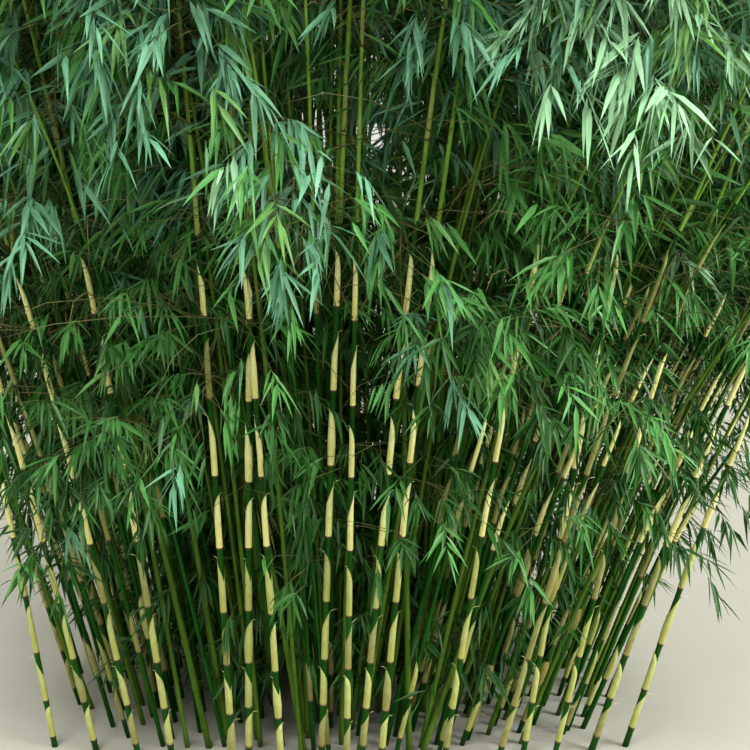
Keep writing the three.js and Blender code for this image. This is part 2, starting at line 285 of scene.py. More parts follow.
# The boughs that hang before the canes: where each leaves its cane, as seen from its tip, its rise there,
# and the tips
BOUGH_BEHIND = (0, 340, 130)
BOUGH_RISE = 0.45
BOUGH_RADIUS = 2.6
BOUGH_TIP_RADIUS = 1.0
FRONT_BOUGHS = [
    (-422, -1010, 1497),
    (-312, -1030, 1539),
    (-218, -1040, 1480),
    (-492, -960, 1391),
    (-359, -1000, 1384),
    (-168, -1000, 1599),
    (-109, -1060, 1310),
    (-68, -1080, 1240),
    (-56, -1060, 1150),
    (-106, -1040, 1180),
    (454, -1060, 1612),
    (544, -1080, 1562),
    (636, -1060, 1513),
    (392, -1040, 1530),
    (522, -1090, 1455),
    (639, -1040, 1395),
    (360, -1000, 1649),
    (688, -1040, 1597),
    (-506, -800, 670),
    (-376, -830, 730),
    (-261, -850, 780),
    (224, -830, 924),
    (321, -850, 898),
    (407, -860, 971),
    (122, -900, 1107),
    (23, -1000, 1599),
    (172, -980, 1514),
    (-587, -860, 1158),
    (499, -900, 1164),
]

# Low side branches in the shade, on the canes whose feet are behind this line, and how many for each node.
# They begin higher far to the side.
SHADED_FROM_Y = -330
SHADED_TO = 1100
SHADED_SIDE = 420
SHADED_SIDE_FROM = 450
SHADED_SHARE = ((130, 0.8), (FAR, 0.4))

# Low side branches near the front, how many for each node, the height over which they come to that, and
# how far they turn from straight ahead, in the middle and as a spread
LOW_BEFORE_Y = -250
LOW_FROM = 480
LOW_TO = 1280
LOW_SHARE = ((-300, 0.35), (20, 0.26), (420, 0.28), (FAR, 0.1))
LOW_RISE_OVER = ((-300, 300), (20, 600), (FAR, 300))
LOW_LEAST = 0.15
LOW_HEADING = (0.25, 0.85)

# The sprays at a cane's tip: how many, and the share of its length where they begin. The canes whose tips
# are in the heart of the crown's top, within so far of its middle, have more and longer ones.
TIP_SPRAYS = 3
TIP_SPRAYS_FROM = 0.87
TIP_SPRAYS_TO = 0.99
HEART = 700
HEART_SPRAYS = 10
HEART_SPRAYS_FROM = 0.8
HEART_SPRAYS_LONGER = 1.5
TIP_SPRAYS_SPREAD = 1.1
TIP_SPRAYS_RISES = (0.1, 1.0)
TIP_SPRAYS_DROOPS = (0.2, 0.9)
TIP_SPRAYS_LENGTHS = (80, 190)
TIP_SPRAYS_RADIUS = 1.0
TIP_SPRAYS_TIP_RADIUS = 0.5

# The kinds of side branches, the distance between the twigs of all but the crown's, and the size of leaves,
# which are larger high up on the boughs
CROWN, BOUGH, SHADED, LOW, TIP = range(5)
TWIG_SPACINGS = (30, 60, 38, 45)
LEAF_SIZES = (1, 0.8, 0.9, 0.8, 1)
HIGH_BOUGHS_FROM = 1200
HIGH_BOUGHS_LEAF_SIZE = 1.2

# Twigs along a branch and leaves along a twig: the first place and the length of the rest, as shares, the
# first one's part of a step, and the last one's place. Then how far they turn aside: the spread of the one
# at the tip, and the least and most of the others.
TWIG_PLACES = (0.2, 0.78, 0.5, 0.985)
TWIG_TURNS = (0.25, 0.4, 1.15)
LEAF_PLACES = (0.55, 0.43, 0.4, 0.97)
LEAF_TURNS = (0.2, 0.25, 1.1)

# A twig follows its branch's slope by a share, and varies. So does a leaf, which hangs.
TWIG_FOLLOWS = 0.6
TWIG_RISES = (-0.5, 0.6)
TWIG_STEEPEST = 1.1
TWIG_DROOPS = (0.1, 0.7)
TWIG_LENGTHS = (0.55, 1.4)
TWIG_RADIUS = 0.95
TWIG_TIP_RADIUS = 0.5
LEAF_FOLLOWS = 0.25
LEAF_FALLS = (0.1, 1.25)
LEAF_STEEPEST_FALL = -1.35
LEAF_STEEPEST_RISE = 0.3
LEAF_LENGTHS = (0.7, 1.25)
LEAF_WIDTHS = (0.85, 1.15)
LEAF_ROLL = 0.55
LEAF_TWIST = 0.5
LEAF_BENDS = (0.02, 0.24)

# A leaf's outline, finer near the front: places along it, and its width there
FINE_LEAF = ((0, 0.24, 0.62, 1), (0, 1, 0.72, 0))
PLAIN_LEAF = ((0, 0.36, 1), (0, 1, 0))
FINE_LEAF_BEFORE_Y = -600
FINE_LEAF_BELOW = 1750
FOLD = 0.42

# Twigs near the front have one more ring
FINE_TWIG_BEFORE_Y = -500
FINE_TWIG_BELOW = 1900

# Hollows in the crown's face, where its sprays are thin: middle to the right and up, half width, half
# height, how far forward they begin, and the share of the sprays that is missing
HOLLOWS = [
    (-52, 1640, 80, 130, -640, 0.55),
    (-480, 1250, 180, 110, -640, 0.55),
    (-700, 1600, 70, 200, -640, 0.55),
    (-180, 1130, 150, 120, -640, 0.55),
    (380, 900, 440, 310, -300, 0.8),
    (-660, 880, 220, 300, -250, 0.65),
]

# The front canes that stand free of leaves, each from a height to a height, how wide, and the middle of
# the place before the clump that they are free towards, right of and before the main cane
FREE_CANES = {
    "cane_4": (1150, 1850),
    "cane_6": (520, 1850),
    "cane_7": (520, 1250),
    "cane_10": (520, 1850),
    "cane_11": (520, 1200),
    "cane_12": (1150, 1850),
    "cane_15": (1150, 1850),
}
FREE_HALF_WIDTH = 15
FREE_TOWARDS_X = 75
FREE_TOWARDS_Y = 2400

# The colours of the leaves, and where the sprays are outer, low and sunlit. The deep colour is painted shade
# inside the crown and low down. A painted bluish reflection of the sky comes on them from the first height to
# the second, higher up on the right, and goes again to its least.
LEAF_COLOURS = ("leaf_deep", "leaf_middle", "leaf_blue", "leaf_fresh", "leaf_sunlit", "leaf_yellow")
OUTER_SHARES = (0.45, 0.85)
LOW_SPRAYS_Z = (1350, 900)
SUNLIT_X = 330
SUNLIT_BEFORE_Y = -350
SUNLIT_Z = (1380, 2300)
REFLECTION_Z = (1120, 1450)
REFLECTION_HIGHER_FROM_X = 230
REFLECTION_HIGHER = 230
REFLECTION_GONE_Z = (2500, 1700)
REFLECTION_LEAST = 0.4
FRESH_FROM_X = 250
YELLOW_SHARE = 0.0004

# The light on the sprays of the boughs, least low down, and all of it high up
LIT_Z = (1000, 1350)
LIT_LEAST = 0.15

# The colours of the sheaths, and the first of the two that each kind of sheath has. The weathered have one.
SHEATH_COLOURS = (
    "sheath_ring",
    "sheath_cream_low",
    "sheath_cream",
    "sheath_tan_low",
    "sheath_tan",
    "sheath_green_low",
    "sheath_green",
    "sheath_soiled_low",
    "sheath_soiled",
    "sheath_ochre",
)
# The shaded kind is painted shade near the ground.
FRESH, DRY, GREEN, SHADED_SHEATH, WEATHERED = 1, 3, 5, 7, 9

# The finishes: the pattern's scale and stretch, how far its colour goes both ways, and the surface
FINISHES = {
    "cane": {"scale": 9, "stretch": (5, 5, 0.8), "spread": 0.35, "rough": 0.42, "bump": 0.15, "gloss": 0.1},
    "sheath": {
        "scale": 30, "stretch": (12, 12, 0.9), "spread": 0.13, "rough": 0.62, "bump": 0.35, "gloss": 0.3
    },
    "twig": {"scale": 14, "stretch": (1, 1, 1), "spread": 0.4, "rough": 0.6, "bump": 0.2, "gloss": 0.2},
    "leaf": {"scale": 22, "stretch": (1, 1, 1), "spread": 0.16, "rough": 0.44, "bump": 0.1, "gloss": 0.3},
    "floor": {"scale": 3, "stretch": (1, 1, 1), "spread": 0.03, "rough": 0.9, "bump": 0.05, "gloss": 0.5},
}
SHEATH_SHEEN = 0.1

# The stage: the floor, the lights with their places, widths and powers, and the camera
FLOOR_COLOUR = (0.41, 0.40, 0.34)
FLOOR_HALF_WIDTH = 14
LIGHTS = {
    "key": ((-1.5, -3.6, 6.9), 3.4, 720),
    "side": ((4.6, -2.4, 3.6), 2.6, 420),
    "back": ((0.5, 5.0, 4.5), 3.0, 200),
}
LIGHTS_AIM = (0, 0, 1.4)
ROOM_COLOUR = (1.0, 1.0, 0.9, 1)
ROOM_LIGHT = 0.84
CAMERA_PLACE = (0.075, -3.2, 1.5)
CAMERA_DOWN = 11.8
SENSOR_WIDTH = 36
PICTURE_WIDTH = 750
FOCAL_LENGTH_IN_PICTURE = 1230


def length_property(name, description, default):
    return bpy.props.FloatProperty(name=name, description=description, default=default, unit="LENGTH")


def share_property(name, description, default):
    return bpy.props.FloatProperty(name=name, description=description, default=default, subtype="FACTOR")


def colour_property(name, description, colour):
    return bpy.props.FloatVectorProperty(
        name=name, description=description, default=colour, size=3, min=0, max=1, subtype="COLOR"
    )


class ClumpSettings(bpy.types.PropertyGroup):
    """The sizes of what grows on the canes."""

    internode: length_property("Internode", "Length between two nodes of a cane's middle", 0.195)
    sheath_high: share_property("Sheath point", "A sheath's point, as a share of its internode", 0.77)
    sheath_low: share_property("Sheath shoulder", "A sheath's low side, as a share of its internode", 0.45)
    leaf_length: length_property("Leaf length", "Length of a middling leaf", 0.088)
    leaf_width: share_property("Leaf width", "Width of a leaf as a share of its length", 0.118)
    branch_length: length_property("Side branch", "Length of a middling side branch", 0.42)
    twig_spacing: length_property("Twig spacing", "Distance between twigs on a side branch", 0.047)
    twig_length: length_property("Twig length", "Length of a middling twig", 0.15)
    leaves_per_twig: bpy.props.IntProperty(
        name="Leaves on a twig", description="How many leaves a twig carries", default=8, min=1
    )
    seed: bpy.props.IntProperty(name="Seed", description="Start of the random draws", default=17)


class ClumpColours(bpy.types.PropertyGroup):
    """The colours of the canes, sheaths, twigs and leaves."""

    culm_young: colour_property("Young cane", "A cane between its sheaths", (0.005, 0.058, 0.002))
    # Lighter than the young cane below: painted light on the canes in the crown
    culm_high: colour_property("Young cane, high", "A cane in the crown", (0.180, 0.350, 0.045))
    culm_old: colour_property("Old cane", "A cane that has shed its sheaths", (0.064, 0.136, 0.012))
    sheath_ring: colour_property("Sheath foot", "The ring at a sheath's foot", (0.105, 0.038, 0.022))
    sheath_cream: colour_property("Fresh sheath", "A sheath of this year", (0.80, 0.80, 0.34))
    sheath_cream_low: colour_property("Fresh sheath, low", "Its lower part", (0.76, 0.73, 0.26))
    # The shaded sheaths near the ground: painted shade
    sheath_soiled: colour_property("Shaded sheath", "A sheath near the ground", (0.43, 0.47, 0.145))
    sheath_soiled_low: colour_property("Shaded sheath, low", "Its lower part", (0.39, 0.40, 0.098))
    sheath_tan: colour_property("Dry sheath", "A sheath of last year", (0.29, 0.30, 0.095))
    sheath_tan_low: colour_property("Dry sheath, low", "Its lower part", (0.25, 0.24, 0.062))
    sheath_green: colour_property("Green sheath", "A sheath high up", (0.27, 0.38, 0.09))
    sheath_green_low: colour_property("Green sheath, low", "Its lower part", (0.30, 0.36, 0.08))
    sheath_ochre: colour_property("Weathered sheath", "A bulging sheath", (0.27, 0.235, 0.05))
    twig: colour_property("Twig", "A side branch or twig", (0.112, 0.115, 0.038))
    # Painted shade on the leaves inside the crown and low down
    leaf_deep: colour_property("Deep leaf", "A leaf inside the crown", (0.017, 0.084, 0.009))
    leaf_middle: colour_property("Leaf", "A middling leaf", (0.070, 0.236, 0.050))
    # A painted bluish reflection of the sky on the leaves
    leaf_blue: colour_property("Bluish leaf", "A leaf with a bluish bloom", (0.110, 0.288, 0.162))
    leaf_fresh: colour_property("Fresh leaf", "A young leaf", (0.100, 0.245, 0.055))
    leaf_sunlit: colour_property("Sunlit leaf", "A leaf in the sun", (0.245, 0.460, 0.250))
    leaf_yellow: colour_property("Yellow leaf", "A leaf about to fall", (0.34, 0.36, 0.08))


def settings():
    return bpy.context.scene.clump_settings


def random_from(seed):
    """Repeatable random numbers between low and high."""
    state = seed

    def draw(low, high):
        nonlocal state
        state = state * 16807 % 2147483647
        return low + (high - low) * state / 2147483647

    return draw


def ramp(values, start, end):
    """How far values are on the way from start to end, from 0 to 1."""
    return np.clip((values - start) / (end - start), 0, 1)


def banded(bands, x):
    """The value of the band that a place is in."""
    return next(value for right_end, value in bands if x < right_end)


def between(values, limits):
    return (values > limits[0]) & (values < limits[1])


def unit(vectors):
    return vectors / np.maximum(np.linalg.norm(vectors, axis=-1, keepdims=True), 1e-9)


def crown_reach(height):
    """How far the crown reaches from its middle at one or many heights."""
    height = np.asarray(height, float)
    rise = ramp(height, CROWN_WAIST, CROWN_TOP)
    drop = np.clip((CROWN_WAIST - height) / (CROWN_WAIST - CROWN_FOOT), 0, 1.2)
    above = CROWN_REACH * np.sqrt(1 - rise**CROWN_TOP_CURVE)
    below = CROWN_REACH - (CROWN_REACH - CROWN_REACH_AT_FOOT) * drop**CROWN_FOOT_CURVE
    return np.where(height > CROWN_WAIST, above, below)


def crown_share(points):
    """How far out points lie, as shares of the crown's reach at their heights."""
    distance = np.hypot(points[..., 0], points[..., 1] / CROWN_DEPTH_RATIO)
    return distance / np.maximum(crown_reach(points[..., 2]), 1)


def leaves_foot(points):
    """The height where the leaves over each point begin."""
    share = crown_share(points) + RECESS * ramp(np.abs(points[..., 0]), RECESS_END, RECESS_FULL)
    distance = np.maximum(np.hypot(points[..., 0], points[..., 1]), 1)
    front = np.clip(-points[..., 1] / distance, 0, 1)
    return LEAVES_FOOT + front * (LEAVES_FOOT_IN_FRONT + LEAVES_FOOT_FAR_OUT * ramp(share, *FAR_OUT))


def between_plumes(points):
    """How deep in a gap between two plumes of the crown points lie, from 0 to 1. Its heart has no gaps."""
    angle = np.arctan2(points[..., 1], points[..., 0])
    height = points[..., 2] * FULL_TURN / CROWN_TOP
    broad, narrow = [
        math.prod(np.sin(turns * angle + climbs * height + start) for turns, climbs, start in waves)
        for waves in (BROAD_PLUMES, NARROW_PLUMES)
    ]
    apart = ramp(np.hypot(points[..., 0], points[..., 1]), 0, HEART)
    return np.clip(0.5 + BROAD_DEPTH * broad + NARROW_DEPTH * narrow, 0, 1) * apart


def beyond_crown(points):
    """Whether points lie outside the crown's ragged edge."""
    gap = between_plumes(points)
    outside = crown_share(points) > LEAVES_REACH - PLUME_GAP * gap
    return outside | (points[..., 2] > LEAVES_TOP - PLUME_GAP_ABOVE * gap)


def in_crown(points):
    """Whether points are where the leaves grow."""
    return ~beyond_crown(points) & (points[..., 2] > leaves_foot(points))


def missing_share(points):
    """The share of the sprays that is missing at points, in the hollows of the crown's face."""
    missing = np.zeros(len(points))
    for x, z, half_width, half_height, before, share in HOLLOWS:
        off = np.hypot((points[:, 0] - x) / half_width, (points[:, 2] - z) / half_height)
        missing = np.where((off < 1) & (points[:, 1] < before), share, missing)
    return missing


def before_free_canes(points):
    """Whether points are right before one of the canes that stand free of leaves."""
    blocked = np.zeros(len(points), bool)
    for cane in grow_canes():
        if cane["node"] in FREE_CANES:
            spots = limbs_of([cane]).points(np.linspace(0, 1, 60)[None])[0]
            x = np.interp(points[:, 2], spots[:, 2], spots[:, 0])
            y = np.interp(points[:, 2], spots[:, 2], spots[:, 1])
            near = (points[:, 1] < y) & between(points[:, 2], FREE_CANES[cane["node"]])
            shift = (y - points[:, 1]) * (FREE_TOWARDS_X - x) / FREE_TOWARDS_Y
            blocked |= near & (np.abs(points[:, 0] - x - shift) < FREE_HALF_WIDTH)
    return blocked


class Limbs:
    """Tapering stems, each in one upright plane, that droop more and more towards their tips."""

    FIELDS = ("start", "heading", "rise", "droop", "length", "radius", "tip_radius")

    def __init__(self, start, **fields):
        self.start = np.asarray(start, float)
        for name in self.FIELDS[1:]:
            setattr(self, name, np.broadcast_to(np.asarray(fields[name], float), len(self.start)))

    def __len__(self):
        return len(self.heading)

    def chosen(self, which):
        return Limbs(**{name: getattr(self, name)[which] for name in self.FIELDS})

    def points(self, shares):
        """Points at shares of the stems' lengths, a row of shares for each stem."""
        rise = self.rise[:, None]
        end = (self.rise - self.droop)[:, None]
        bend = shares**3 / 3
        out = self.length[:, None] * (np.cos(rise) * shares + (np.cos(end) - np.cos(rise)) * bend)
        up = self.length[:, None] * (np.sin(rise) * shares + (np.sin(end) - np.sin(rise)) * bend)
        return self.start[:, None] + self.level(out, up)

    def points_at(self, share):
        """A point on each stem."""
        return self.points(np.broadcast_to(share, len(self))[:, None])[:, 0]

    def directions(self, shares):
        """The stems' directions at shares of their lengths."""
        rise = self.rise[:, None]
        end = (self.rise - self.droop)[:, None]
        out = np.cos(rise) + (np.cos(end) - np.cos(rise)) * shares**2
        up = np.sin(rise) + (np.sin(end) - np.sin(rise)) * shares**2
        return unit(self.level(out, up))

    def level(self, out, up):
        """Vectors that go out along the stems' headings and up."""
        x = out * np.cos(self.heading)[:, None]
        y = out * np.sin(self.heading)[:, None]
        return np.stack([x, y, up], axis=-1)

    def radii(self, shares):
        return self.radius[:, None] + (self.tip_radius - self.radius)[:, None] * shares


def joined(*sets):
    """Several sets of limbs as one."""
    return Limbs(**{name: np.concatenate([getattr(s, name) for s in sets]) for name in Limbs.FIELDS})


def limbs_of(canes):
    """Canes as a set of limbs."""
    return Limbs(**{name: [cane[name] for cane in canes] for name in Limbs.FIELDS})


def cane_length(cane, share):
    """A share of the longest length that keeps a cane's tip inside the crown."""
    lengths = CROWN_TOP - float(CANE_LENGTH_STEP) * np.arange(CROWN_TOP // CANE_LENGTH_STEP)
    rise = cane["rise"]
    end = rise - cane["droop"]
    out = lengths * (2 * math.cos(rise) + math.cos(end)) / 3
    up = lengths * (2 * math.sin(rise) + math.sin(end)) / 3
    x = cane["start"][0] + out * math.cos(cane["heading"])
    y = cane["start"][1] + out * math.sin(cane["heading"])
    fits = np.hypot(x, y / CROWN_DEPTH_RATIO) <= crown_reach(up)
    fits &= up <= CROWN_TOP - CANES_BELOW_TOP
    return lengths[np.argmax(fits)] * share


def grow_cane(foot, lean_right, lean_back, age, node, draw):
    """A cane from its foot, its lean to the right and to the back, its age and its frame node."""
    right = math.tan(math.radians(lean_right))
    back = math.tan(math.radians(lean_back))
    lean = math.atan(math.hypot(right, back))
    cane = {
        "start": (*foot, 0),
        "heading": math.atan2(back, right),
        "rise": math.pi / 2 - lean,
        "droop": (math.radians(CANE_DROOP) + DROOP_PER_LEAN * lean) * draw(*CANE_DROOPS),
        "radius": CANE_RADIUS * draw(*CANE_RADII),
        "tip_radius": CANE_TIP_RADIUS,
        "age": age,
        "node": node,
    }
    cane["length"] = cane_length(cane, draw(*CANE_LENGTHS))
    return cane


def grow_front_row(draw):
    """The row of single canes that closes the clump in front."""
    row = []
    for i, (x, lean_right, age) in enumerate(FRONT_CANES):
        end = (x / FRONT_CANES[0][0]) ** 2
        old = age == "old"
        y = FRONT_ROW_Y + FRONT_ROW_BOW * end + (OLD_SET_BACK if old else 0)
        lean_front = (OLD_FRONT_LEAN if old else FRONT_LEAN) - FRONT_LEAN_LESS * end
        foot = (x, y + draw(-FRONT_ROW_SHIFT, FRONT_ROW_SHIFT))
        row.append(grow_cane(foot, lean_right, -lean_front, age, f"cane_{i + 1}", draw))
    return row


def grow_tufts(draw):
    """Tufts of canes that share one foot, in a spiral, leaning away from the middle of the clump."""
    canes = []
    for i in range(TUFT_COUNT):
        ring = math.sqrt((i + TUFT_START) / TUFT_COUNT) if i else 0
        angle = i * GOLDEN_ANGLE + draw(-TUFT_SHIFT, TUFT_SHIFT)
        x = CLUMP_HALF_WIDTH * ring * math.cos(angle)
        y = CLUMP_HALF_DEPTH * ring * math.sin(angle) + (TUFTS_BACK if i else 0)
        lean_right = RIM_LEAN * ring * math.cos(angle) + draw(-1, 1)
        lean_back = RIM_LEAN * ring * math.sin(angle) + draw(-1, 1)
        age = "old" if i % 3 == 1 else "young"
        turn = draw(0, FULL_TURN)
        for n in range(TUFT_CANES):
            side = turn + n * FULL_TURN / TUFT_CANES
            apart = TUFT_SPREAD if i or n else 0
            fan = TUFT_FAN * draw(0.3, 1)
            foot = (x + apart * math.cos(side), y + apart * math.sin(side))
            leans = (lean_right + fan * math.cos(side), lean_back + fan * math.sin(side))
            canes.append(grow_cane(foot, *leans, age, f"tuft_{i + 1}", draw))
    return canes


def grow_between(draw):
    """Thinner canes all over the clump's foot, in a finer spiral, each leaning away from the middle."""
    canes = []
    for i in range(BETWEEN_COUNT):
        ring = math.sqrt((i + 0.5) / BETWEEN_COUNT)
        angle = i * GOLDEN_ANGLE
        corner = ring * max(abs(math.cos(angle)), abs(math.sin(angle))) ** -BETWEEN_SQUARENESS
        x = BETWEEN_HALF_WIDTH * corner * math.cos(angle) + draw(-BETWEEN_SHIFT, BETWEEN_SHIFT)
        y = BETWEEN_HALF_DEPTH * corner * math.sin(angle) + BETWEEN_MIDDLE_Y
        y += draw(-BETWEEN_SHIFT, BETWEEN_SHIFT)
        if x < 0:
            lean_right = BETWEEN_LEAN_LEFT * x / BETWEEN_HALF_WIDTH
        else:
            lean_right = BETWEEN_LEAN_RIGHT * (x / BETWEEN_HALF_WIDTH) ** BETWEEN_LEAN_POWER
        lean_right += draw(-BETWEEN_LEAN_SHIFT, BETWEEN_LEAN_SHIFT)
        lean_back = RIM_LEAN * ring * math.sin(angle)
        lean_back += draw(-BETWEEN_LEAN_BACK_SHIFT, BETWEEN_LEAN_BACK_SHIFT)
        age = "old" if draw(0, 1) < banded(BETWEEN_OLD, x) else "young"
        cane = grow_cane((x, y), lean_right, lean_back, age, "", draw)
        cane["radius"] *= BETWEEN_RADIUS / CANE_RADIUS
        if ring > BETWEEN_SHORTER_FROM:
            cane["length"] *= BETWEEN_SHORTER
        canes.append(cane)
    return canes


def node_places(length, draw):
    """How far up a cane its nodes are: close together at its foot, far apart above, and closer at its tip."""
    internode = settings().internode / MM
    places = []
    place = draw(*FIRST_NODE)
    while place < length - NODES_END:
        places.append(place)
        grown = 1 - math.exp(-(place + NODES_RISE_FROM) / NODES_RISE_OVER)
        place += internode * grown * (1 - NODES_CLOSER * (place / length) ** 3) * draw(*NODES_SHIFT)
    return np.array(places)


@functools.lru_cache
def grow_canes():
    """Every cane, with its nodes."""
    draw = random_from(CANE_SEED)
    canes = grow_front_row(draw) + grow_tufts(draw) + grow_between(random_from(BETWEEN_SEED))
    node_draw = random_from(settings().seed)
    for cane in canes:
        cane["front"] = cane["node"].startswith("cane")
        cane["places"] = node_places(cane["length"], node_draw)
        cane["turn"] = node_draw(*CANE_TURNS)
    return canes


class Shape:
    """A shape that is repeated: its corners and triangles, read from a mesh that is then let go."""

    def __init__(self, mesh):
        bmesh.ops.recalc_face_normals(mesh, faces=mesh.faces)
        bmesh.ops.triangulate(mesh, faces=mesh.faces)
        mesh.verts.index_update()
        self.corners = np.array([corner.co for corner in mesh.verts])
        self.triangles = np.array([[corner.index for corner in face.verts] for face in mesh.faces])
        mesh.free()


@functools.lru_cache
def straight_stem(sides, steps, pointed=False):
    """A closed stem of radius 1 that stands up, with a ring at each whole height, pointed or flat on top."""
    mesh = bmesh.new()
    bmesh.ops.create_cone(mesh, cap_ends=True, segments=sides, radius1=1, radius2=1, depth=steps)
    bmesh.ops.translate(mesh, vec=(0, 0, steps / 2), verts=mesh.verts)
    if steps > 1:
        upright = [e for e in mesh.edges if abs(e.verts[0].co.z - e.verts[1].co.z) > 0.5]
        bmesh.ops.subdivide_edges(mesh, edges=upright, cuts=steps - 1, use_grid_fill=True)
    if pointed:
        top = [corner for corner in mesh.verts if corner.co.z > steps - 0.5]
        bmesh.ops.pointmerge(mesh, verts=top, merge_co=(0, 0, steps))
    return Shape(mesh)


@functools.lru_cache
def flat_leaf(stations):
    """A flat leaf with a midrib: a strip of two rows, drawn together at both ends."""
    mesh = bmesh.new()
    bmesh.ops.create_grid(mesh, x_segments=stations, y_segments=2, size=1)
    bmesh.ops.scale(mesh, vec=(stations / 2, 1, 1), verts=mesh.verts)
    bmesh.ops.translate(mesh, vec=(stations / 2, 0, 0), verts=mesh.verts)
    for end in (0, stations):
        corners = [corner for corner in mesh.verts if abs(corner.co.x - end) < 0.1]
        bmesh.ops.pointmerge(mesh, verts=corners, merge_co=(end, 0, 0))
    return Shape(mesh)


class JoinedMesh:
    """Many shapes gathered into one mesh, each triangle with its own finish."""

    def __init__(self):
        self.corners = []
        self.triangles = []
        self.finishes = []
        self.count = 0

    def add(self, corners, triangles, finishes):
        """Adds like shapes: corners (shapes, corners, 3), triangles of one shape, and a finish each."""
        shapes, size = corners.shape[:2]
        if not shapes:
            return
        first = self.count + size * np.arange(shapes)
        self.corners.append(corners.reshape(-1, 3))
        self.triangles.append((triangles[None] + first[:, None, None]).reshape(-1, 3))
        self.finishes.append(np.broadcast_to(finishes, (shapes, len(triangles))).reshape(-1))
        self.count += shapes * size

    def piece(self, name, materials, nodes=(), smooth=True):
        """The gathered shapes as a piece of the clump, in metres, that stands for frame nodes."""
        corners = np.concatenate(self.corners) * MM
        triangles = np.concatenate(self.triangles)
        mesh = bpy.data.meshes.new(name)
        mesh.vertices.add(len(corners))
        mesh.vertices.foreach_set("co", corners.astype(np.float32).ravel())
        mesh.loops.add(triangles.size)
        mesh.loops.foreach_set("vertex_index", triangles.astype(np.int32).ravel())
        mesh.polygons.add(len(triangles))
        mesh.polygons.foreach_set("loop_start", np.arange(0, triangles.size, 3, dtype=np.int32))
        mesh.polygons.foreach_set("material_index", np.concatenate(self.finishes).astype(np.int32))
        mesh.polygons.foreach_set("use_smooth", np.full(len(triangles), smooth))
        mesh.update(calc_edges=True)
        mesh.validate()
        for material in materials:
            mesh.materials.append(material)
        made = bpy.data.objects.new(name, mesh)
        bpy.context.scene.collection.objects.link(made)
        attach(made, "root")
        if nodes:
            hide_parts(*nodes)


def cross_axes(along):
    """Two axes across upright stems: one to the right and one to the front."""
    right = unit(RIGHT - along * (along @ RIGHT)[..., None])
    return right, np.cross(along, right)


def bend_stem(limb, stations, radii, sides):
    """The corners and triangles of a stem that follows one limb, with a ring at each station."""
    shape = straight_stem(sides, len(stations) - 1)
    ring = np.rint(shape.corners[:, 2]).astype(int)
    shares = (stations / limb.length[0])[ring][None]
    along = limb.directions(shares)[0]
    along[ring == 0] = UP
    right, front = cross_axes(along)
    across = right * shape.corners[:, :1] + front * shape.corners[:, 1:2]
    return limb.points(shares) + across * radii[ring][:, None], shape.triangles


def add_cane(gathered, cane):
    """Adds a cane with its nodes swollen."""
    if cane["front"]:
        pattern, sides = FRONT_NODE_RINGS, FRONT_CANE_SIDES
    elif cane["node"]:
        pattern, sides = TUFT_NODE_RINGS, TUFT_CANE_SIDES
    else:
        pattern, sides = BETWEEN_NODE_RINGS, BETWEEN_CANE_SIDES
    pattern = np.array(pattern)
    stations = (cane["places"][:, None] + pattern[:, 0]).ravel()
    swell = np.tile(pattern[:, 1], len(cane["places"]))
    stations = np.concatenate([[0], stations, [cane["length"]]])
    swell = np.concatenate([[FOOT_SWELL], swell, [1]])
    limb = limbs_of([cane])
    radii = limb.radii((stations / cane["length"])[None])[0] * swell
    corners, triangles = bend_stem(limb, stations, radii, sides)
    # Above that height a young cane takes the lighter colour, which is painted light
    high = corners[0][triangles].mean(axis=1)[:, 2] > LIT_AND_SHED_ABOVE
    gathered.add(corners, triangles, high & (cane["age"] == "young"))


def sheath_rows(canes):
    """Every sheath as a row: its cane, foot, height, side of its point, bulge and colour."""
    draw = random_from(settings().seed + 1)
    rows = []
    for index, cane in enumerate(canes):
        if cane["age"] == "old":
            continue
        front = cane["front"]
        wrapped = cane["node"] == WRAPPED_CANE or (not front and draw(0, 1) < WRAPPED_SHARE)
        x = cane["start"][0]
        # Behind the front row more sheaths are dry, partly as painted shade among the canes there
        dry = DRY_IN_FRONT if front else banded(DRY_AND_SHADE_BEHIND, x)
        places = np.append(cane["places"], cane["length"] - NODES_END / 2)
        for i, foot in enumerate(places[:-1]):
            internode = places[i + 1] - foot
            side = math.pi * (i % 2) + cane["turn"] + draw(-0.3, 0.3)
            tone = draw(0, 1)
            bulging = between(x, BULGING_X) and between(foot, BULGING_Z) and draw(0, 1) < BULGING_SHARE
            if foot > LIT_AND_SHED_ABOVE and draw(0, 1) < SHED_HIGH or foot > NO_SHEATHS_ABOVE:
                continue
            if not front and draw(0, 1) < banded(SHED_LOW if foot < SHED_LOW_TO else SHED_ABOVE, x):
                continue
            if foot > GREEN_ABOVE:
                colour = GREEN
            elif wrapped or bulging or (foot < DRY_LOW_BELOW and tone < DRY_LOW) or tone < dry:
                colour = DRY
            else:
                # Near the ground the sheaths take the shaded colour, which is painted shade
                colour = FRESH if foot > SHADED_SHEATHS_BELOW else SHADED_SHEATH
            height = internode * draw(*SHEATH_SHIFT)
            height *= SHEATH_AT_GROUND - SHEATH_LESS * min(foot / SHEATH_LESS_AT, 1)
            if wrapped:
                height *= WRAPPED_LONGER
            if bulging:
                height = draw(*BULGING_HEIGHTS) / settings().sheath_high
            bulge = LOOSE if draw(0, 1) < LOOSE_SHARE else TIGHT
            rows.append((index, foot, height, side, BULGING if bulging else bulge, colour))
    return np.array(rows)


def sheath_tops(turn):
    """How high a sheath's edge is round the cane, from its low side up to its point."""
    near = (1 + np.cos(turn)) / 2
    low = settings().sheath_low
    return low + (settings().sheath_high - low) * near**0.5


